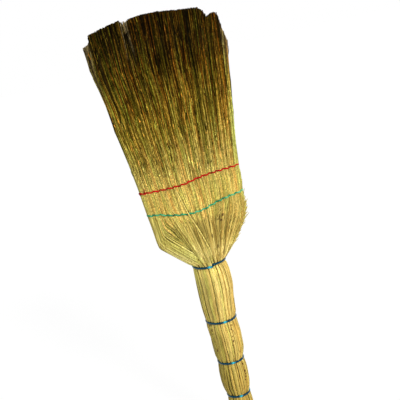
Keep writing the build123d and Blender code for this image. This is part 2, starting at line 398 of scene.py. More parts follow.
@dataclass
class BroomForm:
    """The broom's outline, which all its straw follows. Sizes are in metres."""

    head_length: float = 0.446
    share_steps: int = 401

    # The wire's thickness, how deep a tie bites in, and how far from it the straw is full again
    wire: float = 0.0041
    tie_bite: float = 0.0016
    tie_reach: float = 0.0050

    # Reach to the left and the right: at each tie, and below it by the part of the way up to it
    waists: Pairs = (
        (0.0208, 0.0208), (0.0213, 0.0210), (0.0243, 0.0235), (0.0288, 0.0268), (0.0297, 0.0308),
    )
    spans: tuple[Triples, ...] = (
        ((0.0, 0.0214, 0.0214), (0.5, 0.0222, 0.0222)),
        ((0.20, 0.0220, 0.0219), (0.60, 0.0227, 0.0224), (0.88, 0.0219, 0.0217)),
        ((0.14, 0.0233, 0.0230), (0.40, 0.0264, 0.0250), (0.65, 0.0262, 0.0254), (0.88, 0.0250, 0.0241)),
        (
            (0.10, 0.0258, 0.0250), (0.25, 0.0268, 0.0279), (0.45, 0.0274, 0.0284),
            (0.62, 0.0277, 0.0286), (0.80, 0.0288, 0.0275), (0.92, 0.0290, 0.0268),
        ),
        (
            (0.08, 0.0289, 0.0283), (0.20, 0.0300, 0.0294), (0.42, 0.0305, 0.0326),
            (0.58, 0.0304, 0.0349), (0.75, 0.0301, 0.0347), (0.92, 0.0298, 0.0325),
        ),
    )

    # Reach to the left, to the right and through the fan, by the rise above the neck
    left_edge: Pairs = (
        (0.003, 0.0330), (0.010, 0.0391), (0.020, 0.0493), (0.030, 0.0604), (0.040, 0.0720),
        (0.0445, 0.0772), (0.050, 0.0801), (0.065, 0.0815), (0.085, 0.0834), (0.105, 0.0858),
        (0.145, 0.0896), (0.205, 0.0963), (0.245, 0.1030), (0.285, 0.1083), (0.300, 0.1087),
        (0.325, 0.1116), (0.350, 0.1166), (0.376, 0.1210), (0.390, 0.1222), (0.446, 0.1236),
    )
    right_edge: Pairs = (
        (0.003, 0.0342), (0.010, 0.0404), (0.020, 0.0485), (0.030, 0.0560), (0.045, 0.0672),
        (0.060, 0.0775), (0.068, 0.0815), (0.080, 0.0848), (0.092, 0.0862), (0.116, 0.0870),
        (0.138, 0.0902), (0.162, 0.0893), (0.205, 0.0936), (0.285, 0.1037), (0.335, 0.1086),
        (0.365, 0.1130), (0.446, 0.1215),
    )
    depths: Pairs = (
        (0.013, 0.0302), (0.048, 0.0302), (0.112, 0.0250), (0.1545, 0.0222), (0.446, 0.0258),
    )

    # The rise of the straws' bends, by the share to either side, and the section's power
    left_bends: SmoothLine = SmoothLine(
        ((0.0, 0.140), (0.5, 0.120), (0.68, 0.095), (0.83, 0.068), (1.0, 0.046))
    )
    right_bends: SmoothLine = SmoothLine(
        ((0.0, 0.140), (0.5, 0.125), (0.68, 0.105), (0.83, 0.084), (1.0, 0.066))
    )
    bend_softness: float = 0.07
    squareness: float = 2.6
    squaring: Step = Step(0.004, 0.046)
    flattening: Step = Step(0.0, 0.012)

    # Shares of the fan, and how much of the way round the handle lies before each
    round_shares: Numbers = (-1.0, -0.94, -0.87, -0.58, -0.28, 0.04, 0.40, 0.74, 1.0)
    round_parts: Numbers = (0.0, 0.22, 0.37, 0.41, 0.50, 0.61, 0.72, 0.83, 1.0)

    # The fold at the left shoulder
    sweep: float = 1.07
    fold: float = 0.58
    fold_edge: float = 0.20
    fold_dive: float = 0.34
    fold_turning: float = 0.3
    fold_turned: float = 0.006
    fold_deepening: Step = Step(0.002, 0.012)
    fold_entry: Step = Step(0.0, 0.006)
    fold_exit: Range = (-0.004, 0.008)

    # Creases between bundles: the share where each lies, its depth and the rise where it ends
    creases: Triples = (
        (-0.58, 0.9, 0.110), (-0.28, 0.25, 0.060), (0.04, 0.15, 0.070), (0.40, 0.20, 0.055),
        (0.74, 0.35, 0.070),
    )
    crease_width: float = 0.0022
    crease_drop: float = 0.06
    crease_hold: float = 0.5

    # The sewn rows: how far they pull the straw in, and their rise by the place across
    pinch_depth: float = 0.05
    pinch_reach: float = 0.008
    green: SmoothLine = SmoothLine(
        (
            (-0.0875, 0.1090), (-0.0680, 0.1095), (-0.0460, 0.1045), (-0.0075, 0.1003),
            (0.0150, 0.1030), (0.0270, 0.1068), (0.0420, 0.1110), (0.0590, 0.1140), (0.0875, 0.1168),
        )
    )
    red: SmoothLine = SmoothLine(
        (
            (-0.0910, 0.1500), (-0.0620, 0.1510), (-0.0360, 0.1514), (-0.0130, 0.1525),
            (0.0000, 0.1550), (0.0130, 0.1580), (0.0370, 0.1610), (0.0610, 0.1625), (0.0910, 0.1628),
        )
    )

    def __post_init__(self) -> None:
        """Works out the outline's lines from the ties' places in the frame."""
        boxes = [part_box(name) for name in TIES]
        self.tie_heights = [(low.z + high.z) / 2 for low, high in boxes]
        self.neck = self.tie_heights[-1]
        self.tip = self.neck + self.head_length
        left, right = [], []
        below = 0.0
        for height, span, waist in zip(self.tie_heights, self.spans, self.waists):
            for part, left_reach, right_reach in span:
                left.append((below + part * (height - below), left_reach))
                right.append((below + part * (height - below), right_reach))
            for away, bite in ((-self.tie_reach, 0.0), (0.0, self.tie_bite), (self.tie_reach, 0.0)):
                left.append((height + away, waist[0] - bite))
                right.append((height + away, waist[1] - bite))
            below = height
        del left[-1], right[-1]
        thick = [(z, (a + b) / 2) for (z, a), (_, b) in zip(left, right)]
        self.left_line = SmoothLine((*left, *self.above_neck(self.left_edge)))
        self.right_line = SmoothLine((*right, *self.above_neck(self.right_edge)))
        self.depth_line = SmoothLine((*thick, *self.above_neck(self.depths)))
        bend = self.left_bends.at(np.array(self.fold))
        middle, half_width = self.section(self.neck + np.array([0.0, bend]))
        self.fold_root = middle[0] + half_width[0] * math.cos(self.turn(-self.fold))
        self.fold_lean = (middle[1] - half_width[1] * self.fold - self.fold_root) / bend

    def above_neck(self, knots: Pairs) -> list[tuple[float, float]]:
        """Lifts knots that are given by their rise above the neck tie."""
        return [(self.neck + rise, value) for rise, value in knots]

    def section(self, z: Array) -> tuple[Array, Array]:
        """Gives the middle and the half width of the outline at each height."""
        left, right = self.left_line.at(z), self.right_line.at(z)
        return (right - left) / 2, (right + left) / 2

    def radius(self, z: Array) -> Array:
        """Gives half of the broom's thickness at each height, which is the radius in the handle."""
        return self.depth_line.at(z)

    def turn(self, share: Array) -> Array:
        """Gives the angle round the handle of a share of the fan, from pi at the left to 0."""
        return np.pi * (1 - np.interp(share, self.round_shares, self.round_parts))

    def bend(self, share: Array) -> Array:
        """Gives the rise above the neck at which a straw of each share bends upright."""
        return np.where(share < 0, self.left_bends.at(-share), self.right_bends.at(share))

    def power(self, rise: Array) -> Array:
        """Gives the section's power: a circle's 2 at the neck, growing to the fan's squareness."""
        return 2 + (self.squareness - 2) * self.squaring.at(rise)

    def crease(self, share: Array, z: Array) -> Array:
        """Says how deep in the creases between bundles a place lies, as a sum of bells exp(-d^2).

        Args:
            share: Where it lies across, from -1 at the left to 1 at the right.
            z: Height above the butt.

        Returns:
            The sum, where each crease opens above the neck and closes towards its end.
        """
        rise = z - self.neck
        half_width = self.section(np.maximum(z, self.neck))[1]
        total = np.zeros(np.broadcast(share, z).shape)
        for edge, depth, end in self.creases:
            reach = self.flattening.at(rise) * (1 - smooth_step(rise, self.crease_hold * end, end))
            off = (share - edge) * half_width / self.crease_width
            total = total + depth * reach * np.exp(-(off**2))
        return total

    def shaded(self, share: Array, z: Array) -> Array:
        """Gives what a crease leaves of the light at each place: painted shade."""
        return 1 - CREASE_SHADE * np.minimum(self.crease(share, z), 1.0)

    def front(self, x: Array, z: Array) -> Array:
        """Gives half of the fan's thickness at each place across and height, a superellipse."""
        middle, half_width = self.section(z)
        u = np.minimum(np.abs((x - middle) / half_width), 1.0)
        return self.radius(z) * (1 - u**self.squareness) ** (1 / self.squareness)

    def share_at(self, x: float, z: float) -> float:
        """Finds the share of the fan that lies at a place across on the front, at a height."""
        shares = np.linspace(-1.0, 1.0, self.share_steps)
        across = self.place(shares, np.ones_like(shares), Side.FRONT, np.full_like(shares, z))[:, 0]
        return float(np.interp(x, across, shares))

    def place(self, share: Array, depth: Array, side: Side, z: Array) -> Array:
        """Finds points of the straw from where they lie in the section at each height.

        In the handle a share is an angle and a depth is part of the radius. From the neck each
        straw runs straight out to its bend and from there keeps its share of the half width, and
        the bends lie lower towards the edges. Outside the fold at the left shoulder the straws
        run side by side along the shoulder's edge instead, and come out from under the fold where
        the two lines cross. The thickness is the superellipse (1 - |u|^n)^(1/n) of the place u
        across, and n grows from a circle's 2. Creases part the bundles above the neck, and the
        sewn rows pull the straw in.

        Args:
            share: Where it lies across, from -1 at the left to 1 at the right.
            depth: Where it lies through, from 0 in the middle to 1 on the outside.
            side: The front or the back of the fan.
            z: Height above the butt.

        Returns:
            The points, with x, y and z on the last axis.
        """
        rise = z - self.neck
        turn = self.turn(share)
        bend = self.bend(share)
        far_middle, far_half = self.section(self.neck + np.maximum(rise, bend))
        low_middle, low_half = self.section(np.minimum(z, self.neck))
        way, soft = np.maximum(rise, 0.0) / bend, self.bend_softness
        rounded = 1 - (1 + soft - np.minimum(way, 1 + soft)) ** 2 / (4 * soft)
        way = np.where(way < 1 - soft, way, rounded)
        round_x = low_middle + low_half * depth * np.cos(turn)
        far_x = far_middle + far_half * share
        x = round_x + way * (far_x - round_x)

        bend_middle, bend_half = self.section(self.neck + bend)
        root = bend_middle + bend_half * share + self.sweep * bend
        cross = np.maximum((root - self.fold_root) / (self.sweep + self.fold_lean), 0.0)
        outside = smooth_step(-share, self.fold, self.fold + self.fold_edge)
        swept = outside * smooth_step(rise, self.fold_turning * cross, cross + self.fold_turned)
        x = x + swept * (root + way * (far_x - root) - x)
        under = outside * self.fold_deepening.at(cross) * self.fold_entry.at(rise)
        leaving, left = self.fold_exit
        out_again = smooth_step(rise, cross + leaving, cross + left)
        depth = depth * (1 - self.fold_dive * under * (1 - out_again))

        middle, half_width = self.section(z)
        power = self.power(rise)
        u = np.minimum(np.abs((x - middle) / half_width), 1.0)
        flat_y = depth * (1 - u**power) ** (1 / power)
        round_y = depth * np.sin(turn)
        y = self.radius(z) * (round_y + self.flattening.at(rise) * (flat_y - round_y))
        y = y * (1 - self.crease_drop * self.crease(share, z))
        for row in (self.green, self.red):
            y = y * (1 - self.pinch_depth * np.exp(-(((rise - row.at(x)) / self.pinch_reach) ** 2)))
        return np.stack([x, side.value * y, np.broadcast_to(z, x.shape)], -1)


class Nodes:
    """The node tree of a material or a world, with short calls to add nodes and feed their inputs."""

    def __init__(self, owner: Material | bpy.types.World) -> None:
        """Starts the owner's nodes."""
        owner.use_nodes = True
        self.owner, self.tree = owner, owner.node_tree

    def feed(self, target: Socket, value: Feed) -> None:
        """Links an output to an input, or writes a number, a vector or a colour there.

        Args:
            target: The input.
            value: The output, or what to write.
        """
        if isinstance(value, Socket):
            self.tree.links.new(value, target)
        elif isinstance(value, tuple):
            target.default_value = (*value, 1.0)[: len(target.default_value)]
        else:
            target.default_value = value

    def add(self, kind: str, feeds: dict[str | int, Feed], **settings: str) -> bpy.types.Node:
        """Adds a node.

        Args:
            kind: Blender's name for the kind of node.
            feeds: What its inputs take, by their names or numbers.
            settings: Its properties.

        Returns:
            The node.
        """
        node = self.tree.nodes.new(kind)
        for key, value in settings.items():
            setattr(node, key, value)
        for key, value in feeds.items():
            self.feed(node.inputs[key], value)
        return node

    def value(self, name: str) -> Socket:
        """Reads a value that the mesh holds at its points."""
        return self.add("ShaderNodeAttribute", {}, attribute_name=name).outputs["Fac"]

    def ramp(self, source: Socket, stops: Stops) -> Socket:
        """Turns a value into a colour.

        Args:
            source: The value.
            stops: Places from 0 to 1 with a linear colour each.

        Returns:
            The colour.
        """
        node = self.add("ShaderNodeValToRGB", {"Fac": source})
        elements = node.color_ramp.elements
        while len(elements) < len(stops):
            elements.new(1.0)
        for element, (place, colour) in zip(elements, stops):
            element.position = place
            element.color = (*colour, 1.0)
        return node.outputs["Color"]

    def spread(self, source: Socket, low: float, high: float, start: float, end: float) -> Socket:
        """Maps a value from start..end to low..high."""
        feeds = {"Value": source, "From Min": start, "From Max": end, "To Min": low, "To Max": high}
        return self.add("ShaderNodeMapRange", feeds).outputs["Result"]

    def product(self, first: Socket, second: Feed) -> Socket:
        """Multiplies a value by another, linked or written."""
        return self.add("ShaderNodeMath", {0: first, 1: second}, operation="MULTIPLY").outputs[0]

    def mixed(self, factor: Feed, first: Socket, second: Feed, blend: str = "MIX") -> Socket:
        """Mixes two colours in one of Blender's ways, where the factor is the second one's part."""
        feeds = {MIX_FACTOR: factor, MIX_FIRST: first, MIX_SECOND: second}
        return self.add("ShaderNodeMix", feeds, data_type="RGBA", blend_type=blend).outputs[MIX_RESULT]

    def varied(self, colour: Socket, noise: Socket, amount: float, span: Range) -> Socket:
        """Lightens and darkens a colour by an amount each way, as a noise goes over its span."""
        return self.mixed(1.0, colour, self.spread(noise, 1 - amount, 1 + amount, *span), "MULTIPLY")

    def noise_at(self, place: Socket, detail: float, roughness: float = 0.5) -> Socket:
        """Makes a noise that reads a place, with the texture's own detail and roughness."""
        feeds = {"Vector": place, "Scale": 1.0, "Detail": detail, "Roughness": roughness}
        return self.add("ShaderNodeTexNoise", feeds).outputs["Fac"]

    def noise(self, scale: Triple, detail: float = 3.0) -> Socket:
        """Makes a noise on the object's own coordinates, stretched by a scale on each axis."""
        place = self.add("ShaderNodeTexCoord", {}).outputs["Object"]
        stretched = self.add("ShaderNodeMapping", {"Vector": place, "Scale": scale})
        return self.noise_at(stretched.outputs["Vector"], detail)

    def patches(self, number: Socket, along: Socket, rate: float) -> Socket:
        """Makes a noise that changes at a rate along each straw, set apart by the straw's own number."""
        place = self.add("ShaderNodeCombineXYZ", {"X": number, "Y": self.product(along, rate)})
        return self.noise_at(place.outputs["Vector"], detail=3.0, roughness=0.7)

    def bump(self, source: Socket, strength: float, height: float) -> Socket:
        """Gives the normals of a surface that a value raises, where height is in metres."""
        feeds = {"Strength": strength, "Distance": height, "Height": source}
        return self.add("ShaderNodeBump", feeds).outputs["Normal"]

    def surface(self, **sockets: Feed) -> Material:
        """Ends a finish.

        Args:
            sockets: What the surface shader's sockets take, with _ for the spaces in their names.

        Returns:
            The material.
        """
        inputs = self.tree.nodes["Principled BSDF"].inputs
        for key, value in sockets.items():
            self.feed(inputs[key.replace("_", " ")], value)
        return self.owner


@dataclass(frozen=True)
class StrawFinish:
    """Dry sorghum: pale gold at the stalk, ochre in the fan and dark brown at the tips."""

    name: str
    stops: Stops
    warm: Colour
    green: Colour
    bleach: Stops = (
        (0.05, (1.0, 0.93, 0.44)), (0.35, (0.97, 0.96, 0.74)), (0.80, (0.86, 0.89, 1.0)),
    )
    bleach_most: float = 3.0
    fade: Colour = (0.38, 0.29, 0.13)
    grain: float = 0.20
    grain_scale: Triple = (620.0, 620.0, 22.0)
    grain_span: Range = (0.28, 0.72)
    grain_height: float = 0.0003
    grain_bump: float = 0.35
    streak: float = 0.20
    streak_colour: Colour = (0.55, 0.42, 0.28)
    streak_scale: Triple = (820.0, 820.0, 15.0)
    streak_span: Range = (0.36, 0.45)
    patch: float = 0.55
    patch_rate: float = 95.0
    patch_span: Range = (0.30, 0.70)
    low_patch: float = 0.5
    low_along: Range = (0.61, 0.72)
    tip_patch: float = 0.9
    tip_along: Range = (0.78, 0.92)
    dust: float = 0.50
    dust_scale: Triple = (800.0, 800.0, 420.0)
    dust_span: Range = (0.30, 0.70)
    scar: Colour = (0.10, 0.045, 0.014)
    scar_least: float = 0.45
    scar_scale: Triple = (640.0, 640.0, 420.0)
    scar_span: Range = (0.40, 0.56)
    rough: Range = (0.50, 0.80)
    rough_span: Range = (0.3, 0.7)
    gloss: float = 0.03

    def material(self) -> Material:
        """Builds the finish from the values along, shade, tint, scar, straw and faded.

        The colour goes along the straw by the stops, to the warm or the green with the tint, and
        lighter or darker with the shade, which bleaches it too. Faded straw goes to the grey of the
        fade. Grain, thin streaks, patches along each straw, dust and scars lie over that.

        Returns:
            The material.
        """
        n = Nodes(bpy.data.materials.new(self.name))
        along, tint, shade = (n.value(name) for name in ("along", "tint", "shade"))
        colour = n.ramp(along, self.stops)
        colour = n.mixed(n.spread(tint, 0.0, 1.0, 0.5, 1.0), colour, self.warm, "MULTIPLY")
        colour = n.mixed(n.spread(tint, 1.0, 0.0, 0.0, 0.5), colour, self.green, "MULTIPLY")
        colour = n.mixed(1.0, colour, shade, "MULTIPLY")
        bleach = n.ramp(n.spread(shade, 0.0, 1.0, 0.0, self.bleach_most), self.bleach)
        colour = n.mixed(1.0, colour, bleach, "MULTIPLY")
        colour = n.mixed(n.value("faded"), colour, self.fade)
        grain = n.noise(self.grain_scale)
        colour = n.varied(colour, grain, self.grain, self.grain_span)
        thin = n.spread(n.noise(self.streak_scale, detail=2.0), self.streak, 0.0, *self.streak_span)
        colour = n.mixed(thin, colour, self.streak_colour, "MULTIPLY")
        patchy = n.patches(n.value("straw"), along, self.patch_rate)
        patchy = n.spread(patchy, 1 - self.patch, 1 + self.patch, *self.patch_span)
        colour = n.mixed(n.spread(along, self.low_patch, 1.0, *self.low_along), colour, patchy, "MULTIPLY")
        colour = n.mixed(n.spread(along, 0.0, self.tip_patch, *self.tip_along), colour, patchy, "MULTIPLY")
        colour = n.varied(colour, n.noise(self.dust_scale, detail=1.0), self.dust, self.dust_span)
        fleck = n.spread(n.noise(self.scar_scale, detail=2.0), self.scar_least, 1.0, *self.scar_span)
        colour = n.mixed(n.product(fleck, n.value("scar")), colour, self.scar)
        return n.surface(
            Base_Color=colour,
            Roughness=n.spread(grain, *self.rough, *self.rough_span),
            Normal=n.bump(grain, self.grain_bump, self.grain_height),
            Specular_IOR_Level=self.gloss,
        )


@dataclass(frozen=True)
class WireFinish:
    """Blue plastic coat on a soft wire, glossy, with faint scuffs, spots rubbed pale and a painted highlight.
    """

    name: str
    colour: Colour
    worn: Colour
    # The pale cyan of the rubbed spots and of the painted highlight at each tie's front.
    rubbed_and_highlight: Colour
    scuff_scale: Triple = (420.0, 420.0, 420.0)
    scuff_stops: Triple = (0.30, 0.62, 0.80)
    scuff_height: float = 0.0002
    scuff_bump: float = 0.12
    rough: Range = (0.12, 0.34)
    rough_span: Range = (0.35, 0.8)
    gloss: float = 0.6
    shine: Colour = (0.12, 0.75, 1.0)
    coat: float = 0.05
    coat_rough: float = 0.12

    def material(self) -> Material:
        """Builds the finish: the coat's colour, paler where scuffed, rubbed or painted with a highlight,
        under a clear gloss.

        Returns:
            The material.
        """
        n = Nodes(bpy.data.materials.new(self.name))
        scuff = n.noise(self.scuff_scale, detail=4.0)
        colour = n.ramp(scuff, tuple(zip(self.scuff_stops, (self.colour, self.colour, self.worn))))
        # Pale spots: rubbed wear, and at each tie's front a painted highlight.
        colour = n.mixed(n.value("rub"), colour, self.rubbed_and_highlight)
        return n.surface(
            Base_Color=colour,
            Roughness=n.spread(scuff, *self.rough, *self.rough_span),
            Normal=n.bump(scuff, self.scuff_bump, self.scuff_height),
            Specular_IOR_Level=self.gloss,
            Specular_Tint=self.shine,
            Coat_Weight=self.coat,
            Coat_Roughness=self.coat_rough,
        )


@dataclass(frozen=True)
class ThreadFinish:
    """Twisted sewing thread: dyed fibres, deep and light by turns along the stitches."""

    name: str
    colour: Colour
    deep: Colour
    light: Colour
    fibre: float = 0.3
    fibre_scale: Triple = (2600.0, 2600.0, 2600.0)
    fibre_span: Range = (0.3, 0.7)
    fibre_height: float = 0.0002
    fibre_bump: float = 0.4
    rough: Range = (0.55, 0.85)
    gloss: float = 0.12
    sheen: float = 0.03
    sheen_rough: float = 0.4

    def material(self) -> Material:
        """Builds the finish from the value tone, with fine fibres over it.

        Returns:
            The material.
        """
        n = Nodes(bpy.data.materials.new(self.name))
        colour = n.ramp(n.value("tone"), ((0.0, self.deep), (0.5, self.colour), (1.0, self.light)))
        fibre = n.noise(self.fibre_scale, detail=2.0)
        colour = n.varied(colour, fibre, self.fibre, self.fibre_span)
        return n.surface(
            Base_Color=colour,
            Roughness=n.spread(fibre, *self.rough, *self.fibre_span),
            Normal=n.bump(fibre, self.fibre_bump, self.fibre_height),
            Specular_IOR_Level=self.gloss,
            Sheen_Weight=self.sheen,
            Sheen_Roughness=self.sheen_rough,
        )


@dataclass
class Bundle:
    """The stalks or the bristles of one bundle, on one face of the fan."""

    form: BroomForm
    side: Side
    column: int
    kind: ClassVar[str]
    seed: ClassVar[int]

    def __post_init__(self) -> None:
        """Starts the bundle's own source of chance."""
        self.dice = np.random.default_rng([self.seed, self.column, self.side.value + 1])

    @property
    def name(self) -> str:
        """The name of the frame's node that this stands for."""
        return f"{self.side.name.lower()}_{COLUMNS[self.column]}_{self.kind}"

    @property
    def edges(self) -> Array:
        """The shares of the fan at the bundle's left and right edges."""
        return COLUMN_EDGES[self.column : self.column + 2]


@dataclass
class StalkBundle(Bundle):
    """The stalks of one bundle: round canes in the handle that fan out over the shoulder."""

    kind: ClassVar[str] = "stalks"
    seed: ClassVar[int] = 11
    glow: float
    warmth: float
    # Painted light and shade on the handle, low down and just below the neck
    handle_painted_light: float
    upper_painted_light: float
    flecks: tuple[Numbers, ...]
    upper_part: Step = Step(-0.14, -0.10)
    above_neck: Step = Step(-0.01, 0.02)
    tint_bell: float = 2.0
    strip_sides: int = 6

    # Canes
    layers: Triples = (
        (1.0, 1.0, 1.02), (1.0, 0.85, 1.02), (0.65, 0.60, 1.30), (0.40, 0.32, 1.40),
    )
    jitter: float = 0.22
    sinking: float = 0.03
    sizes: Range = (0.82, 1.22)
    uneven_cut: float = 0.0025
    ends: Range = (0.128, 0.165)
    strip: float = 0.78
    flatness: float = 1.28
    roundness: float = 1.1
    fullness: float = 0.86
    freeing: Step = Step(-0.004, 0.020)
    thinning: SmoothLine = SmoothLine(
        ((-0.02, 0.96), (0.02, 0.60), (0.06, 0.38), (0.112, 0.32), (0.165, 0.26))
    )
    girth_rise: float = 0.01
    rising: Step = Step(0.0, 0.016)
    rising_starts: Range = (-0.004, 0.010)
    dive: Step = Step(0.105, 0.155, 0.22)
    sway: float = 0.008
    sway_rate: float = 21.0
    stray: float = 0.018
    straying: Step = Step(0.0, 0.1)
    handle_contrast: float = 0.40
    fan_contrast: Step = Step(0.0, 0.02, 0.82)
    sides: int = 10
    long_step: float = 0.013
    long_reach: float = 0.12
    tie_steps: Numbers = (-0.008, -0.005, -0.0025, 0.0, 0.0025, 0.005, 0.008)
    bend_steps: Numbers = (-0.008, 0.0, 0.008)
    bend_most: float = 0.11

    # Joints of the canes
    joints: int = 3
    first_joints: Range = (0.02, 0.16)
    joint_gap: float = 0.17
    joint_steps: Numbers = (-0.003, 0.0, 0.003)
    joint_swell: float = 0.06
    joint_length: float = 0.003
    ring_above: float = 0.001
    ring_length: float = 0.0016
    ring_dark: float = 0.30

    # Fillers
    filler_density: float = 80.0
    filler_least: int = 6
    filler_layer: float = 0.62
    filler_size: float = 0.84
    filler_start: float = 0.030
    filler_rises: Numbers = (-0.012, 0.0, 0.010, 0.020, 0.031, 0.076, 0.092, 0.104, 0.116)
    filler_sides: int = 4

    # Bark flecks
    fleck_thick: float = 0.0008
    fleck_rings: int = 9
    fleck_lifts: Range = (1.006, 1.030)

    # Leaf sheaths
    wraps: float = 1.6
    wrap_margins: Range = (0.03, 0.02)
    wrap_halves: Range = (0.025, 0.075)
    wrap_ends: Range = (0.003, 0.001)
    wrap_lift: float = 1.004
    wrap_drift: float = 0.012
    wrap_thick: float = 0.0007
    wrap_ovals: Range = (1.8, 3.6)
    wrap_shades: Range = (0.80, 1.16)
    wrap_rings: int = 24

    # Straws of the fan's narrow edge
    seams: int = 11
    seam_part: float = 0.62
    seam_jitter: Range = (0.2, 0.8)
    seam_thick: float = 0.0015
    seam_thicks: Range = (0.85, 1.15)
    seam_taper: Step = Step(0.02, 0.10, 0.35)
    seam_ends: Range = (0.100, 0.125)
    seam_contrast: float = 0.9
    seam_inset: SmoothLine = SmoothLine(
        (
            (-0.008, 0.82), (0.003, 0.80), (0.010, 0.87), (0.020, 0.955), (0.032, 0.985),
            (0.085, 0.985), (0.125, 0.89),
        )
    )
    seam_rises: Numbers = (
        *(-0.008, -0.003, 0.003, 0.010, 0.020, 0.030, 0.038),
        *(0.0425, 0.047, 0.053, 0.062, 0.072, 0.085),
    )

    @property
    def parts(self) -> Array:
        """How much of the way round the handle lies before the bundle, and up to its end."""
        form = self.form
        return np.interp(self.edges, form.round_shares, form.round_parts)

    def share_of(self, across: Array) -> Array:
        """Gives the share of the fan of a place across the bundle's part of the handle, from 0 to 1."""
        form = self.form
        return np.interp(self.parts[0] + np.ptp(self.parts) * across, form.round_parts, form.round_shares)

    def handle_light_and_shade(self, rise: Array) -> Array:
        """Gives the painted light and shade of the bundle's part of the handle at each rise, below the neck.
        """
        return self.handle_painted_light + (self.upper_painted_light - self.handle_painted_light) * self.upper_part.at(rise)

    def values(self, z: Array, shade: Array, scar: Array | float = 0.0) -> Values:
        """Gathers what the finish reads, with a tint and a number of each stalk's own.

        Args:
            z: Heights by stalk and ring.
            shade: How light each stalk is.
            scar: How much of the dark bark each place shows.

        Returns:
            The values by their names.
        """
        count = len(z)
        tint = self.dice.beta(self.tint_bell, self.tint_bell, (count, 1)) + self.warmth
        return {
            "along": np.clip(z / self.form.tip, 0.0, 1.0),
            "shade": shade,
            "tint": np.clip(tint, 0.0, 1.0),
            "scar": scar,
            "straw": STRAW_NUMBERS * self.dice.random((count, 1)),
        }

    def lanes(self, filler: bool) -> Array:
        """Lists the stalks: place across the bundle, layer in the handle, size and starting height.

        The layers run from the butt. The fillers start hidden below the neck tie and come out
        between the others above it.

        Args:
            filler: Whether to list the fillers or the others.

        Returns:
            One row for each stalk.
        """
        dice = self.dice
        outer = STALKS_ROUND * np.diff(self.parts)[0]
        groups = [(max(1, round(part * outer)), layer, size, 0.0) for part, layer, size in self.layers]
        if filler:
            fillers = round(self.filler_density * np.diff(COLUMN_EDGES)[self.column]) + self.filler_least
            groups = [(fillers, self.filler_layer, self.filler_size, self.form.neck - self.filler_start)]
        rows = []
        for count, layer, size, start in groups:
            for place in (np.arange(count) + 0.5 + dice.uniform(-self.jitter, self.jitter, count)) / count:
                sunk = layer - dice.uniform(0.0, self.sinking)
                rows.append((place, sunk, size * dice.uniform(*self.sizes), start))
        return np.array(rows)

    def heights(self, lane: Array, start: Array, filler: bool) -> tuple[Array, Array]:
        """Chooses the heights of each stalk's rings and of its joints.

        Rings lie close together at the ties, the bend and the joints, and wide apart between them.

        Args:
            lane: The stalks' shares of the fan.
            start: The heights that they start from, before the uneven cut.
            filler: Whether they are the fillers, which show no joints, or the others.

        Returns:
            The rings' heights and the joints' heights, by stalk.
        """
        dice, form, count = self.dice, self.form, len(lane)
        common = form.neck + np.array(self.filler_rises)
        if not filler:
            even = np.arange(self.long_step, form.neck + self.long_reach, self.long_step)
            common = np.concatenate([even, *(form.tie_heights + np.array(self.tie_steps)[:, None])])
        start = start + dice.uniform(0.0, self.uneven_cut, count)
        end = form.neck + dice.uniform(*self.ends, count)
        joints = dice.uniform(*self.first_joints, (count, 1)) + self.joint_gap * np.arange(self.joints)
        bend = np.minimum(form.bend(lane)[:, None], self.bend_most)
        own = [start[:, None], end[:, None], form.neck + bend + self.bend_steps]
        if not filler:
            own.append((joints[:, :, None] + self.joint_steps).reshape(count, -1))
        return merged(common, np.concatenate(own, 1), RING_GAP), joints

    def canes(self, filler: bool, sides: int) -> Surface:
        """Builds stalks: each keeps its lane, rises to the outside above the neck and thins out.

        A stalk's half width in the handle is half of its part of the way round, and it is pressed
        flat there. Above the neck it turns round and thins, to under a third by the red row, below
        the loose straw. A joint of the cane is a bell-shaped swelling with a dark ring.

        Args:
            filler: Whether they are the fillers or the others.
            sides: Sides of each one's profile.

        Returns:
            The surface of these stalks.
        """
        dice, form = self.dice, self.form
        across, layer, size, start = self.lanes(filler).T
        count = len(across)
        first, last = self.edges
        lane = first + (last - first) * across if filler else self.share_of(across)
        z, joints = self.heights(lane, start, filler)
        lane, layer, size = lane[:, None], layer[:, None], size[:, None]
        rise = z - form.neck
        free = self.freeing.at(rise)
        girth = np.pi * form.radius(np.minimum(z, form.neck + self.girth_rise)) / (2 * STALKS_ROUND)
        radius = girth * size * self.thinning.at(rise) * (self.strip + (1 - self.strip) * free)
        off = z[:, :, None] - joints[:, None]
        radius = radius * (1 + self.joint_swell * np.exp(-((off / self.joint_length) ** 2)).sum(-1))
        ring = np.exp(-(((off - self.ring_above) / self.ring_length) ** 2)).sum(-1)
        begin = dice.uniform(*self.rising_starts, count)[:, None]
        outward = layer + (1 - layer) * self.rising.at(rise - begin)
        depth = outward * (1 - self.dive.at(rise)) * (1 - radius / form.radius(z))
        drift = self.sway * np.sin(z * self.sway_rate + dice.uniform(0.0, 2 * np.pi, (count, 1)))
        drift = drift + dice.normal(0.0, self.stray, (count, 1)) * self.straying.at(rise)
        points = form.place(np.clip(lane + drift, -1.0, 1.0), depth, self.side, z)
        # Painted shade: the creases darken the stalks' tone.
        tone = even_tones(dice, count) * form.shaded(lane, z)
        # Painted light and shade on the handle, going over to the bundle's glow above the neck.
        light = self.handle_light_and_shade(rise)
        light = light + (self.glow - light) * self.above_neck.at(rise)
        contrast = self.handle_contrast + self.fan_contrast.at(rise)
        scar = self.ring_dark * np.clip(ring, 0.0, 1.0)
        values = self.values(z, (1 + contrast * (tone - 0.5)) * light, scar)
        oval = self.flatness + (self.roundness - self.flatness) * free
        return strands(points, radius, sides, values, facing(form.turn(lane), self.side), oval, self.fullness)

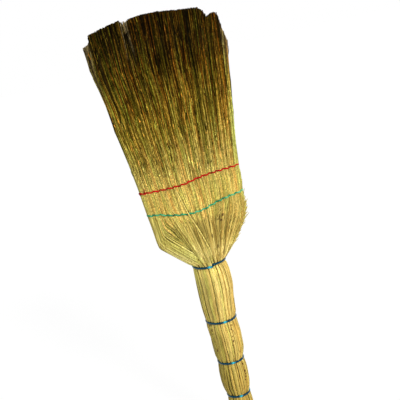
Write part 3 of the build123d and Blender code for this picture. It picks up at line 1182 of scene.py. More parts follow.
    def bark(self) -> list[Surface]:
        """Builds the flecks of dark bark that cling to the bundle's front, as thin lens-shaped strips.

        A fleck is (place across, height, half width, half length). It lies along its stalk, and its
        thickness and its width follow a lens.

        Returns:
            One surface with all the flecks, or none.
        """
        form = self.form
        low, high = self.edges
        mine = [(form.share_at(x, z), z, wide, long) for x, z, wide, long in self.flecks]
        mine = np.array([row for row in mine if low <= row[0] < high])
        if not len(mine):
            return []
        share, z, wide, long = mine.T[..., None]
        way = np.linspace(-1.0, 1.0, self.fleck_rings)
        even = np.ones_like(way)
        on_handle = z < form.neck
        lift = np.where(on_handle, *self.fleck_lifts)
        points = form.place(share * even, lift * even, self.side, z + long * way)
        radius = self.fleck_thick * lens(way) * np.ones_like(wide)
        out = facing(np.where(on_handle, form.turn(share), np.pi / 2), self.side)
        values = {"along": 0.4, "shade": 1.0, "tint": 0.5, "scar": 2.0}
        return [strands(points, radius, self.strip_sides, values, out, wide / self.fleck_thick)]

    def sheaths(self) -> Surface:
        """Builds the dry leaf sheaths that wrap the stalks here and there, as long flat strips.

        A strip lies along its stalk on the handle, and its thickness follows a lens.

        Returns:
            The surface of the strips.
        """
        dice, form = self.dice, self.form
        count = max(2, round(self.wraps * STALKS_ROUND * np.diff(self.parts)[0]))
        share = self.share_of((np.arange(count) + dice.random(count)) / count)[:, None]
        above_butt, below_neck = self.wrap_margins
        middle = dice.uniform(above_butt, form.neck - below_neck, (count, 1))
        half = dice.uniform(*self.wrap_halves, (count, 1))
        way = np.linspace(-1.0, 1.0, self.wrap_rings)
        least, over = self.wrap_ends
        low, high = np.maximum(middle - half, least), np.minimum(middle + half, form.neck + over)
        z = (low + high) / 2 + (high - low) / 2 * way
        lane = share + self.wrap_drift * dice.normal(0.0, 1.0, (count, 1)) * way
        points = form.place(lane, np.full(z.shape, self.wrap_lift), self.side, z)
        thick = self.wrap_thick * lens(way) * np.ones((count, 1))
        shade = dice.uniform(*self.wrap_shades, (count, 1)) * self.handle_light_and_shade(z - form.neck)
        values = self.values(z, shade)
        oval = dice.uniform(*self.wrap_ovals, (count, 1))
        out = facing(form.turn(share), self.side)
        return strands(points, thick, self.strip_sides, values, out, oval)

    def seam(self) -> list[Surface]:
        """Builds the straws that close the fan's narrow edge above the neck, on an outermost bundle.

        A straw keeps its part v of the thickness. It lies across where the section, a superellipse
        of power n, is that thick: at (1 - v^n)^(1/n) of the half width, a little inside it. Its root
        hides below the tie.

        Returns:
            One surface with these straws, or none on an inner bundle.
        """
        if self.column not in (0, len(COLUMNS) - 1):
            return []
        dice, form, count = self.dice, self.form, self.seams
        edge = -1.0 if self.column == 0 else 1.0
        part = (np.arange(count) + dice.uniform(*self.seam_jitter, count)) / count * self.seam_part
        rise = merged(self.seam_rises, dice.uniform(*self.seam_ends, (count, 1)), RING_GAP)
        z = form.neck + rise
        power = form.power(rise)
        thick = part[:, None] * np.ones_like(rise)
        middle, half_width = form.section(z)
        radius = self.seam_thick * dice.uniform(*self.seam_thicks, (count, 1))
        radius = radius * (1 - self.seam_taper.at(rise))
        x = middle + edge * half_width * self.seam_inset.at(rise) * (1 - thick**power) ** (1 / power)
        y = self.side.value * form.radius(z) * thick
        shade = (1 + self.seam_contrast * (even_tones(dice, count) - 0.5)) * self.glow
        values = self.values(z, shade)
        return [strands(np.stack([x, y, z], -1), radius, self.strip_sides, values)]

    def build(self) -> Surface:
        """Builds the stalks that run from the butt, their sheaths, the fillers and the edge's straws."""
        long = self.canes(False, self.sides)
        fillers = self.canes(True, self.filler_sides)
        return Surface.joined([long, fillers, self.sheaths(), *self.bark(), *self.seam()])

    def dress(self, material: Material) -> Piece:
        """Makes the piece that stands for the frame's stalks."""
        return on_handle(self.build().piece(f"{self.name}_canes", material, Slot.STALK), self.name)


@dataclass
class StrawLot:
    """What chance gives each of some straws, one row for each."""

    outer: bool
    share: Array
    depth: Array
    start: Array
    tip: Array
    slant: Array
    lean: Array
    aim_share: Array
    aim_depth: Array
    hair: Array
    tone: Array
    tint: Array
    clump: Array
    clumps: int


@dataclass
class StrawLines:
    """Where some straws run, by straw and ring."""

    rise: Array
    lane: Array
    near: Array
    points: Array
    radius: Array


@dataclass
class StrawBundle(Bundle):
    """The loose straw of one bundle: fine tapered rays from the shoulder to the cut tips."""

    kind: ClassVar[str] = "bristles"
    seed: ClassVar[int] = 23
    veil: float
    frays: int
    crossing: SmoothLine | None
    density: float = 1150.0
    section_steps: int = 50
    thin_edge: float = 0.25
    outer_part: float = 0.60
    sides: int = 4
    bend_start: float = 0.152
    bend_length: float = 0.150

    # Where a straw lies and how long it is
    outer_depth: float = 0.30
    inner_depth: float = 0.70
    starts: Range = (0.014, 0.088)
    veil_starts: Range = (0.0, 0.006)
    clump: int = 5
    clump_across: float = 16.0
    clump_pull: float = 0.16
    clump_lean: float = 0.008
    slant: float = 0.012
    cross_slant: float = 0.075
    cross_part: float = 0.22
    ragged: float = 0.0030
    ragged_own: float = 0.6
    notch: float = -0.385
    notch_half: float = 0.055
    hair_part: float = 0.36
    hair_drop: float = 0.004
    cut_drops: Pairs = (
        (-1.0, 0.031), (-0.905, 0.0262), (-0.892, 0.0140), (-0.867, 0.0124), (-0.69, 0.0073),
        (-0.450, 0.0012), (-0.425, 0.008), (-0.390, 0.021), (-0.332, 0.025), (-0.320, 0.004),
        (-0.31, 0.0025), (-0.125, 0.0), (0.085, 0.0005), (0.43, 0.006), (0.556, 0.007), (0.63, 0.0085),
        (0.68, 0.013), (0.714, 0.020), (0.755, 0.026), (0.79, 0.0245), (0.835, 0.0215), (0.885, 0.0225),
        (0.911, 0.0335), (0.94, 0.049), (0.97, 0.060), (1.0, 0.070),
    )

    # The line of a straw
    outer_rises: Numbers = (0.106, 0.118, 0.146, 0.157, 0.168, 0.205, 0.255, 0.305, 0.360)
    inner_rises: Numbers = (0.106, 0.157, 0.205, 0.265, 0.325, 0.375)
    start_step: float = 0.005
    corner_most: float = 0.098
    corner_steps: Range = (-0.008, 0.0)
    corner_least: Range = (0.010, 0.014)
    loosening: Step = Step(0.165, 0.40)
    gathering: Step = Step(0.19, 0.42)
    slant_rise: float = 0.13
    slant_reach: float = 0.3
    sunk_start: float = 0.40
    sunk_reach: float = 0.012
    veil_reach: float = 0.004
    veil_most: float = 0.007
    weave: float = 0.05
    weave_lengths: Range = (0.09, 0.20)
    weave_phase: float = 6.3
    sways: Pairs = ((0.22, 0.0015), (0.11, 0.0005))
    sway_lengths: Range = (0.8, 1.25)
    sway_least: float = 0.06
    sway_through: float = 0.7
    swaying: Step = Step(0.0, 0.05)
    thick: float = 0.00084
    thick_spread: float = 0.32
    thick_bounds: Range = (-0.5, 0.45)
    taper: SmoothLine = SmoothLine(((0.0, 1.0), (0.16, 0.92), (0.30, 0.80), (0.446, 0.72)))
    hair_thick: float = 0.5

    # Light and dark: each straw's own tone and its colour by place, with painted light towards the lamps and
    # painted shade at depth
    own_tone: float = 0.9
    base_shade: float = 1.12
    fan_contrast: Step = Step(0.14, 0.18, 0.5)
    tip_tones: Triple = (0.10, 3.9, 2.7)
    tip_part: Step = Step(0.15, 0.36)
    # Painted shade: straws that lie deeper, below the surface, are darker.
    sunk_shade: float = 0.60
    surface: Step = Step(0.80, 0.985)
    low_sunk_shade: float = 0.45
    sunk_shade_part: Step = Step(0.10, 0.25)
    shoulder: Step = Step(0.45, 0.75)
    shoulder_light: Step = Step(0.022, 0.036, 0.20)
    shoulder_end: Step = Step(0.075, 0.115)
    centre: float = -0.05
    centre_edge: Step = Step(0.15, 0.50)
    centre_light: Step = Step(0.055, 0.078, 0.20)
    centre_end: Step = Step(0.105, 0.140)
    edge_glow: float = 0.22
    edge_green: float = 0.22
    edge: Step = Step(0.90, 1.0)
    # Painted light: the colour is read lower down, so lighter, towards the lamps at the right and at the
    # edges.
    light_side: float = 0.025
    tip_light: Step = Step(0.32, 0.39, 0.040)
    light_edge: Step = Step(0.86, 1.0, 0.060)
    lit_part: Step = Step(0.12, 0.24)
    tip_dark: Step = Step(0.34, 0.40, 0.70)
    corner: Step = Step(0.90, 0.965)
    corner_fade: Step = Step(0.34, 0.385, 0.9)
    corner_tone: float = 0.7
    hair_fade: Step = Step(0.36, 0.42, 0.55)
    low_hue: float = 0.55
    tip_hue: float = 0.75
    tip_warm: float = 0.12

    # Side twigs
    twigs: int = 2
    twig_rings: int = 6
    twig_spread: Triple = (1.0, 0.7, 0.2)
    twig_lengths: Range = (0.007, 0.018)
    twig_ahead: float = 0.95
    twig_aside: float = 0.25
    twig_curl: float = 0.55
    twig_thick: float = 0.00055
    twig_taper: Numbers = (1.0, 0.95, 0.8, 0.35)
    twig_tones: Triple = (0.08, 4.0, 2.8)
    loose_part: float = 0.62
    loose_levels: Range = (0.93, 1.015)
    loose_lift: float = 0.02
    loose_most: float = 1.03

    # Broken straws on the shoulder
    fray_crowding: int = 3
    fray_rises: Range = (0.020, 0.100)
    fray_depth: float = 0.97
    fray_step: float = 0.006
    fray_out: float = 0.5
    fray_curl: float = 0.34
    fray_lengths: Range = (0.006, 0.018)
    fray_thick: float = 0.0007
    fray_taper: Numbers = (1.0, 1.0, 0.95, 0.9, 0.75, 0.4)

    # The pale straw that lies across the others, and a dark straw beside it as its painted shadow
    crossing_rings: int = 30
    crossing_sides: int = 8
    crossing_ends: Step = Step(0.0, 0.012)
    crossing_lift: float = 0.0028
    crossing_sunk: float = 0.0020
    crossing_shadow_aside: float = 0.0020
    crossing_shadow_under: float = 0.0004
    crossing_thick: Range = (0.0013, 0.0007)
    crossing_straw_and_shadow_shades: Range = (1.5, 0.35)

    @property
    def count(self) -> int:
        """How many straws the bundle's part of the section holds."""
        share = np.linspace(*self.edges, self.section_steps)
        full = (1 - np.abs(share) ** self.form.squareness) ** (1 / self.form.squareness)
        return round(self.density * np.ptp(share) * (self.thin_edge + (1 - self.thin_edge) * full.mean()))

    def lot(self, count: int, outer: bool) -> StrawLot:
        """Draws where each straw lies, where it starts and ends, and which clump it leans to.

        The cut's drop is read at the tip's share, and a straw falls short of it by the squares of
        its clump's and its own chance. Some hairs in the notch reach up to the cut beside it.

        Args:
            count: How many straws.
            outer: Whether they lie near the surface.

        Returns:
            The straws, with their heights as rises above the neck.
        """
        dice = self.dice
        low, high = self.edges
        share = low + (high - low) * (np.arange(count) + dice.random(count)) / count
        even = ((np.arange(count)[:, None] * EVEN_STEPS + dice.random(len(EVEN_STEPS))) % 1).T
        depth = 1 - self.outer_depth * even[0] if outer else self.inner_depth * even[0]
        start = dice.uniform(*self.starts, count)
        if outer:
            start = np.where(dice.random(count) < self.veil, dice.uniform(*self.veil_starts, count), start)
        clumps = max(2, count // self.clump)
        middle, level = dice.uniform(low, high, clumps), dice.choice(depth, clumps)
        off = (share[:, None] - middle) ** 2 * self.clump_across + (depth[:, None] - level) ** 2
        mine = off.argmin(1)
        lean = dice.normal(0.0, self.clump_lean, clumps)[mine]
        slant = np.where(dice.random(count) < self.cross_part, self.cross_slant, self.slant)
        slant = slant * dice.normal(0.0, 1.0, count)
        tip_share = share + slant + self.clump_pull * (middle[mine] - share) + lean
        drop = np.interp(tip_share, *np.array(self.cut_drops).T)
        in_notch = np.abs(tip_share - self.notch) < self.notch_half
        hair = (dice.random(count) < self.hair_part) & in_notch
        drop = np.where(hair, self.hair_drop, drop)
        short = dice.random(clumps)[mine] ** 2 + self.ragged_own * dice.random(count) ** 2
        tip = self.form.head_length - drop - short * self.ragged
        columns = (share, depth, start, tip, slant, lean, middle[mine], level[mine], hair, even[1], even[2])
        return StrawLot(outer, *(column[:, None] for column in columns), clump=mine, clumps=clumps)

    def rays(self, lot: StrawLot) -> StrawLines:
        """Works out the middle lines of some straws.

        A straw keeps its share and depth in the section, slants a little, is drawn to the middle of
        its clump towards the tips, and sways by a sum of sines whose size grows above the red row.
        Its root lies sunk and comes up by the curve 1 - exp(-d) of the way d along it.

        Args:
            lot: The straws.

        Returns:
            The lines.
        """
        dice = self.dice
        form, count, start = self.form, len(lot.share), lot.start
        own = [start, lot.tip]
        if lot.outer:
            bend = np.minimum(form.bend(lot.share), self.corner_most)
            own += [start + self.start_step, np.maximum(bend + self.corner_steps, start + self.corner_least)]
        common = self.outer_rises if lot.outer else self.inner_rises
        rise = merged(common, np.concatenate(own, 1), RING_GAP)
        loose = self.loosening.at(rise)
        pull = self.clump_pull * self.gathering.at(rise)
        lane = lot.share + lot.slant * (rise - self.slant_rise) / self.slant_reach
        lane = lane + pull * (lot.aim_share - lot.share) + lot.lean * loose
        reach = np.where(start < self.veil_most, self.veil_reach, self.sunk_reach)
        emerged = 1 - self.sunk_start * np.exp(-(rise - start) / reach)
        wave = 2 * np.pi * rise / dice.uniform(*self.weave_lengths, (count, 1))
        weave = self.weave * np.sin(wave + dice.uniform(0.0, self.weave_phase, (count, 1)))
        near = np.minimum(lot.depth + pull * (lot.aim_depth - lot.depth) + weave, 1.0)
        points = form.place(np.clip(lane, -1.0, 1.0), near * emerged, self.side, form.neck + rise)
        phases = dice.uniform(0.0, 2 * np.pi, (len(self.sways), 2, count, 1))
        for (length, size), phase in zip(self.sways, phases):
            turn = 2 * np.pi * rise / (length * dice.uniform(*self.sway_lengths, (count, 1)))
            amount = size * (self.sway_least + (1 - self.sway_least) * loose) * self.swaying.at(rise)
            points[..., 0] += amount * np.sin(turn + phase[0])
            points[..., 1] += self.sway_through * amount * np.sin(turn + phase[1])
        girth = np.exp(np.clip(dice.normal(0.0, self.thick_spread, (count, 1)), *self.thick_bounds))
        radius = self.thick * girth * self.taper.at(rise) * np.where(lot.hair, self.hair_thick, 1.0)
        return StrawLines(rise, lane, near, points, radius)

    def lit(self, lot: StrawLot, rise: Array) -> Array:
        """Says how much lower down a straw's colour is read, as painted light: lighter to the right, towards
        the lamps, and at the edges; the lean turns towards the tips.
        """
        lean = self.light_side - self.tip_light.at(rise)
        side = lean * lot.share + self.light_edge.at(np.abs(lot.share))
        return side * self.lit_part.at(rise)

    def shades(self, lot: StrawLot, lines: StrawLines, tone: Array) -> Array:
        """Says how light each straw is: by its tone, more unevenly towards the tips, and by its place.

        The left shoulder, the middle of the sewn block and the edges are lighter. Sunk straws and
        creases are darker, as painted shade, and the tips, most in the middle of the fan, are darker too.

        Args:
            lot: The straws.
            lines: Where they run.
            tone: Each one's own tone, from 0 to 1.

        Returns:
            The shade by straw and ring, about 1.
        """
        form, share, rise = self.form, lot.share, lines.rise
        contrast = 1.0 + self.fan_contrast.at(rise)
        # Painted shade: the creases darken the straw.
        shade = (self.base_shade + contrast * (tone - 0.5)) * form.shaded(lines.lane, form.neck + rise)
        shoulder = self.shoulder.at(-share) * (1 - self.shoulder_end.at(rise))
        shade = shade * (1 + self.shoulder_light.at(rise) * shoulder)
        centre = (1 - self.centre_edge.at(np.abs(share - self.centre))) * (1 - self.centre_end.at(rise))
        shade = shade * (1 + self.centre_light.at(rise) * centre)
        shade = shade + self.tip_part.at(rise) * (flared(tone, *self.tip_tones) - shade)
        shade = shade * (1 + self.edge_glow * self.edge.at(np.abs(share)))
        shade = shade * (1 - self.tip_dark.at(rise) * (1 - share**2))
        # Painted shade of the straws that lie deeper.
        sunk = self.sunk_shade * (1 - self.surface.at(lines.near))
        return shade * (1 - (self.low_sunk_shade + (1 - self.low_sunk_shade) * self.sunk_shade_part.at(rise)) * sunk)

    def values(self, lot: StrawLot, lines: StrawLines) -> Values:
        """Gathers what the finish reads of some straws.

        A straw's tone and tint are mostly its own and a little its clump's. The tint spreads more
        and reddens to the right towards the tips, and the edges are greener. The tips at the fan's
        corners and the hairs in the notch are faded.

        Args:
            lot: The straws.
            lines: Where they run.

        Returns:
            The values by their names.
        """
        dice = self.dice
        share, rise = lot.share, lines.rise
        common = 1 - self.own_tone
        tone = self.own_tone * lot.tone + common * dice.random((lot.clumps, 1))[lot.clump]
        shade = self.shades(lot, lines, tone)
        tint = self.own_tone * lot.tint + common * dice.random((lot.clumps, 1))[lot.clump]
        loose = self.loosening.at(rise)
        tint = 0.5 + (tint - 0.5) * (self.low_hue + self.tip_hue * loose) + self.tip_warm * loose * share
        hairs = self.hair_fade.at(rise) * lot.hair
        corners = self.corner.at(np.abs(share)) * (1 - self.corner_tone + self.corner_tone * tone)
        return {
            "along": np.clip((self.form.neck + rise) / self.form.tip - self.lit(lot, rise), 0.0, 1.0),
            "shade": shade,
            "tint": tint - self.edge_green * self.edge.at(np.abs(share)),
            "scar": 0.0,
            "straw": STRAW_NUMBERS * dice.random((len(share), 1)),
            "faded": np.maximum(hairs, self.corner_fade.at(rise) * corners),
        }

    def sprigs(self, points: Array, values: Values) -> Surface:
        """Builds the short side twigs that roughen the upper third of the straw.

        A twig leaves its straw at a random place of the upper third, at up to a third of its own
        length to the side, and bends back along the straw with the square of the way along it.
        Some have come loose and lie on the outside.

        Args:
            points: The straws' middle lines.
            values: The straws' values.

        Returns:
            The surface of the twigs.
        """
        dice = self.dice
        straws, rings = points.shape[:2]
        which = np.repeat(np.arange(straws), self.twigs)
        count = len(which)
        place = dice.integers(rings - self.twig_rings, rings - 1, count)
        below, above = points[which, place], points[which, place + 1]
        root = below + (above - below) * dice.random((count, 1))
        ahead = unit(above - below)
        aside = dice.normal(0.0, 1.0, (count, 3)) * self.twig_spread
        aside = unit(aside - (aside * ahead).sum(-1, keepdims=True) * ahead)
        length = dice.uniform(*self.twig_lengths, (count, 1, 1))
        step = np.linspace(0.0, 1.0, len(self.twig_taper))[None, :, None]
        outward = (step - self.twig_curl * step**2) * self.twig_aside * aside[:, None]
        lines = root[:, None] + length * (step * ahead[:, None] * self.twig_ahead + outward)
        lines[..., 2] = np.minimum(lines[..., 2], points[which, -1, 2][:, None])
        level = dice.uniform(*self.loose_levels, (count, 1))
        level = level + self.loose_lift * dice.normal(0.0, 1.0, (count, 1)) * step[..., 0]
        shell = self.side.value * self.form.front(lines[..., 0], lines[..., 2])
        on_top = dice.random((count, 1)) < self.loose_part
        lines[..., 1] = np.where(on_top, shell * np.minimum(level, self.loose_most), lines[..., 1])
        radius = self.twig_thick * np.array(self.twig_taper) * np.ones((count, 1))
        light = flared(dice.random((count, 1)), *self.twig_tones)
        own = {
            "along": np.clip(lines[..., 2] / self.form.tip, 0.0, 1.0),
            "shade": values["shade"][which].mean(1, keepdims=True) * light,
            "tint": dice.random((count, 1)),
            "straw": values["straw"][which] + 0.5,
        }
        return strands(lines, radius, self.sides, own)

    def frayed(self) -> Surface:
        """Builds short broken straws that stand off the shoulder, curving out with the square of the way.

        Returns:
            The surface of these straws.
        """
        dice, form, count = self.dice, self.form, self.frays
        low, high = self.edges
        share = high - (high - low) * dice.random(count) ** self.fray_crowding
        depth = np.full(count, self.fray_depth)
        z = form.neck + dice.uniform(*self.fray_rises, count)
        root = form.place(share, depth, self.side, z)
        ahead = unit(form.place(share, depth, self.side, z + self.fray_step) - root)
        out = unit(np.stack([share, np.full(count, self.fray_out * self.side.value), np.zeros(count)], -1))
        step = np.linspace(0.0, 1.0, len(self.fray_taper))[None, :, None]
        length = dice.uniform(*self.fray_lengths, (count, 1, 1))
        lines = root[:, None] + length * (step * ahead[:, None] + self.fray_curl * step**2 * out[:, None])
        radius = self.fray_thick * np.array(self.fray_taper) * np.ones((count, 1))
        values = {"along": 0.5, "shade": 1.35, "tint": 0.4}
        return strands(lines, radius, self.sides, values)

    def crossed(self) -> Surface:
        """Builds the pale straw that lies across the others along its line, and a dark one beside it as its
        painted shadow.

        Returns:
            The surface of both.
        """
        (first, _), *_, (last, _) = self.crossing.knots
        rise = np.linspace(first, last, self.crossing_rings)
        z = self.form.neck + rise
        x = self.crossing.at(rise)
        end = self.crossing_ends.at(np.minimum(rise - first, last - rise))
        y = self.side.value * (self.form.front(x, z) + self.crossing_lift * end - self.crossing_sunk)
        path = np.stack([x, y, z], -1)
        # The dark straw beside the pale one is its painted shadow.
        beside = (self.crossing_shadow_aside, -self.crossing_shadow_under * self.side.value, 0.0)
        shade = np.array(self.crossing_straw_and_shadow_shades)[:, None]
        values = {"along": 0.5, "shade": shade, "tint": 0.45}
        radius = np.array(self.crossing_thick)[:, None] * np.ones(self.crossing_rings)
        return strands(np.stack([path, path + beside]), radius, self.crossing_sides, values)

    def build(self) -> Surface:
        """Builds the outer straws with their twigs, the inner ones, the broken ones and the crossing one.

        Returns:
            All of them as one surface.
        """
        outer_count = round(self.count * self.outer_part)
        parts = []
        for count, outer in ((outer_count, True), (self.count - outer_count, False)):
            lot = self.lot(count, outer)
            lines = self.rays(lot)
            values = self.values(lot, lines)
            parts.append(strands(lines.points, lines.radius, self.sides, values))
            if outer:
                parts.append(self.sprigs(lines.points, values))
        if self.frays:
            parts.append(self.frayed())
        if self.crossing:
            parts.append(self.crossed())
        return Surface.joined(parts)

    def dress(self, material: Material) -> Piece:
        """Makes the piece and lets it stand for the bristles.

        Args:
            material: Its finish.

        Returns:
            The piece.
        """
        made = self.build().piece(f"{self.name}_straw", material, Slot.STRAW)
        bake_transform(made)
        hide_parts(self.name)
        return made


@dataclass
class WireTie:
    """One turn of coated wire in a waist of the handle, its two ends tucked in side by side."""

    form: BroomForm
    number: int
    ends: float
    overlap: float
    climb: float
    # The angle of the front pale spot, a painted highlight; the other spots are rubbed wear.
    rub: float
    rub_width: float = 5.5
    rubs: int = 3
    rub_turns: Range = (60.0, 300.0)
    sit: float = 0.0009
    tuck: float = 0.0030
    tucking: Step = Step(0.0, 7.0)
    wave: float = 0.00006
    waves: int = 36
    rings: int = 260
    sides: int = 12
    seed: int = 31

    @property
    def name(self) -> str:
        """The name of the frame's node that this stands for."""
        return TIES[self.number]

    def build(self) -> Surface:
        """Builds the turn: a circle that climbs evenly, and whose ends sink into the straw.

        The height is the tie's plus climb times a half less the part of the turn. The radius is
        the waist's plus what the wire stands out, with a faint wave over the stalks. A pale spot is
        a bell round its angle: the one at the front is a painted highlight, the others are rubbed wear.

        Returns:
            The wire's surface.
        """
        form = self.form
        turn = np.linspace(0.0, 360.0 + self.overlap, self.rings)
        angle = np.radians(self.ends + self.overlap / 2 - turn[::-1])
        sunk = self.tuck * (1 - self.tucking.at(np.minimum(turn, turn[::-1])))
        wave = self.wave * np.sin(self.waves * angle + self.number)
        height = form.tie_heights[self.number] + self.climb * (0.5 - turn / turn[-1])
        middle, half_width = form.section(np.full_like(turn, form.tie_heights[self.number]))
        reach = half_width + self.sit - sunk + wave
        path = np.stack([middle + reach * np.cos(angle), reach * np.sin(angle), height], -1)[None]
        radius = np.full((1, self.rings), form.wire / 2)
        dice = np.random.default_rng([self.seed, self.number])
        spots = np.radians([self.rub, *(self.rub + dice.uniform(*self.rub_turns, self.rubs))])
        near = np.exp((np.cos(angle[:, None] - spots) - 1) / (np.radians(self.rub_width) ** 2 / 2))
        return strands(path, radius, self.sides, {"rub": near.max(1)[None]}, steady=UP)

    def dress(self, material: Material) -> Piece:
        """Makes the piece that stands for the frame's tie."""
        return on_handle(self.build().piece(f"{self.name}_wire", material, Slot.WIRE), self.name)


@dataclass
class Stitching:
    """One row of twisted thread sewn round the fan, with a knot and a tail at the left."""

    form: BroomForm
    node: str
    row: SmoothLine
    slot: Slot
    tail: float = 0.0
    lighter: float = 0.0
    ply: float = 0.00086
    twist_radius: float = 0.00064
    twist: float = 0.0060
    pitch: float = 0.0125
    slant: float = 0.0010
    steepness: float = 0.5
    slant_peak: float = 1.3
    dip: float = 0.0007
    dip_phase: float = 0.6
    dip_power: int = 4
    sit: float = 0.0016
    edge_sit: float = 0.1
    start_share: float = -0.985
    turns: float = 1.004
    line_steps: int = 4001
    settling: int = 2
    rings: int = 900
    sides: int = 6

    # Tones along the thread: the mean, the stitches' size and phase, and slow waves
    tone: float = 0.52
    stitch_tone: Range = (0.22, 2.2)
    tone_waves: Triples = ((0.14, 31.0, 0.0), (0.12, 83.0, 1.0))

    # The knot and the tail
    knot_size: float = 0.00075
    knot_proud: float = 0.0006
    knot_thick: float = 1.1
    knot_rings: int = 60
    knot_tone: float = 0.15
    knot_steady: Triple = (0.31, 0.83, 0.46)
    tail_aside: float = 0.0075
    tail_lean: float = 0.0020
    tail_proud: float = 0.0016
    tail_rings: int = 24
    tail_tone: float = 0.2

    def bent(self, part: Array) -> Array:
        """Takes a circle's cosine or sine to the superellipse: its power of 2 over the squareness."""
        return np.sign(part) * np.abs(part) ** (2 / self.form.squareness)

    def line(self) -> Array:
        """Works out the thread's middle line round the fan, at even steps.

        The fan's section at the row is a superellipse. The thread stands off from it, rises and
        falls in slanted stitches (a sine with half of its double, so that one flank is steep), and
        dips where each stitch ends.

        Returns:
            The points, in order from the left of the front round to it again.
        """
        form = self.form
        turn = np.linspace(0.0, 2 * np.pi, self.line_steps)
        angle = np.arccos(self.start_share) - turn * self.turns
        share, through = self.bent(np.cos(angle)), self.bent(np.sin(angle))
        z = np.full_like(turn, form.neck + self.row.knots[0][1])
        for _ in range(self.settling):
            middle, half_width = form.section(z)
            x = middle + half_width * share
            z = form.neck + self.row.at(x)
        y = -form.radius(z) * (1 - form.pinch_depth) * through
        ahead = unit(np.gradient(np.stack([x, y], -1), axis=0))
        out = np.stack([ahead[:, 1], -ahead[:, 0]], -1)
        length = np.concatenate([[0.0], np.cumsum(np.hypot(np.diff(x), np.diff(y)))])
        stitch = 2 * np.pi * length / (length[-1] / round(length[-1] / self.pitch))
        stand = self.sit - self.dip * np.maximum(np.cos(stitch + self.dip_phase), 0.0) ** self.dip_power
        stand = stand * (self.edge_sit + (1 - self.edge_sit) * np.abs(through))
        z = z + self.slant * (np.sin(stitch) + self.steepness * np.sin(2 * stitch)) / self.slant_peak
        path = np.stack([x, y, z], -1)
        path[:, :2] += out * stand[:, None]
        even = np.linspace(0.0, length[-1], self.rings)
        return np.stack([np.interp(even, length, path[:, i]) for i in range(3)], -1)

    def twisted(self, path: Array) -> Surface:
        """Winds two plies round a line: each turns about it once in every length of twist.

        The tone is a mean plus a sine for the stitches and some slow ones, and it may grow lighter
        to the right.

        Args:
            path: The thread's middle line.

        Returns:
            The surface of both plies.
        """
        ahead = unit(np.gradient(path, axis=0))
        out = unit(UP - (ahead @ UP)[:, None] * ahead)
        across = np.cross(ahead, out)
        length = np.concatenate([[0.0], np.cumsum(np.linalg.norm(np.diff(path, axis=0), axis=1))])
        turn = 2 * np.pi * length / self.twist + np.array([[0.0], [np.pi]])
        aside = np.cos(turn)[..., None] * out + np.sin(turn)[..., None] * across
        plies = path + self.twist_radius * aside
        place = length / length[-1]
        size, phase = self.stitch_tone
        tone = self.tone + size * np.sin(2 * np.pi * round(length[-1] / self.pitch) * place + phase)
        for size, rate, phase in self.tone_waves:
            tone = tone + size * np.sin(place * rate + phase)
        tone = tone + self.lighter * path[:, 0] / np.abs(path[:, 0]).max()
        values = {"tone": np.clip(tone, 0.0, 1.0)}
        return strands(plies, np.full(plies.shape[:2], self.ply), self.sides, values, steady=UP)

    def tied_off(self, start: Array) -> list[Surface]:
        """Builds the knot, a small trefoil of thread, and the cut tail that lies beside it.

        The knot is the curve (sin t + 2 sin 2t, -sin 3t, cos t - 2 cos 2t) at thread size. The
        tail runs up over the straw from the row, at a slant.

        Args:
            start: Where the row begins.

        Returns:
            The knot and the tail.
        """
        t = np.linspace(0.0, 2 * np.pi, self.knot_rings)
        knot = np.stack([np.sin(t) + 2 * np.sin(2 * t), -np.sin(3 * t), np.cos(t) - 2 * np.cos(2 * t)], -1)
        knot = start + knot * self.knot_size - self.knot_proud * THROUGH
        knot_radius = np.full((1, self.knot_rings), self.ply * self.knot_thick)
        step = np.linspace(0.0, 1.0, self.tail_rings)
        x = start[0] + self.tail_aside + self.tail_lean * step
        z = start[2] + self.tail * step
        tail = np.stack([x, -self.form.front(x, z) - self.tail_proud, z], -1)
        tail_radius = np.full((1, self.tail_rings), self.ply)
        steady = np.array(self.knot_steady)
        return [
            strands(knot[None], knot_radius, self.sides, {"tone": self.knot_tone}, steady),
            strands(tail[None], tail_radius, self.sides, {"tone": self.tail_tone}),
        ]

    def dress(self, material: Material) -> Piece:
        """Makes the piece that stands for the frame's thread, with a knot where the row has a tail.

        Args:
            material: Its finish.

        Returns:
            The piece.
        """
        path = self.line()
        ends = self.tied_off(path[0]) if self.tail else []
        whole = Surface.joined([self.twisted(path), *ends])
        return on_handle(whole.piece(f"{self.node}_thread", material, self.slot), self.node)


@dataclass(frozen=True)
class Lamp:
    """A far soft lamp: where its light comes from, how much, how wide it looks in degrees, and its colour."""

    name: str
    place: Triple
    strength: float
    softness: float
    colour: Colour

    def hang(self) -> None:
        """Adds the lamp to the scene, turned to the broom."""
        data = bpy.data.lights.new(self.name, "SUN")
        data.energy, data.angle, data.color = self.strength, math.radians(self.softness), self.colour
        made = bpy.data.objects.new(self.name, data)
        turned = (-Vector(self.place)).to_track_quat("-Z", "Y").to_matrix().to_4x4()
        made.matrix_world = Matrix.Translation(self.place) @ turned
        bpy.context.scene.collection.objects.link(made)


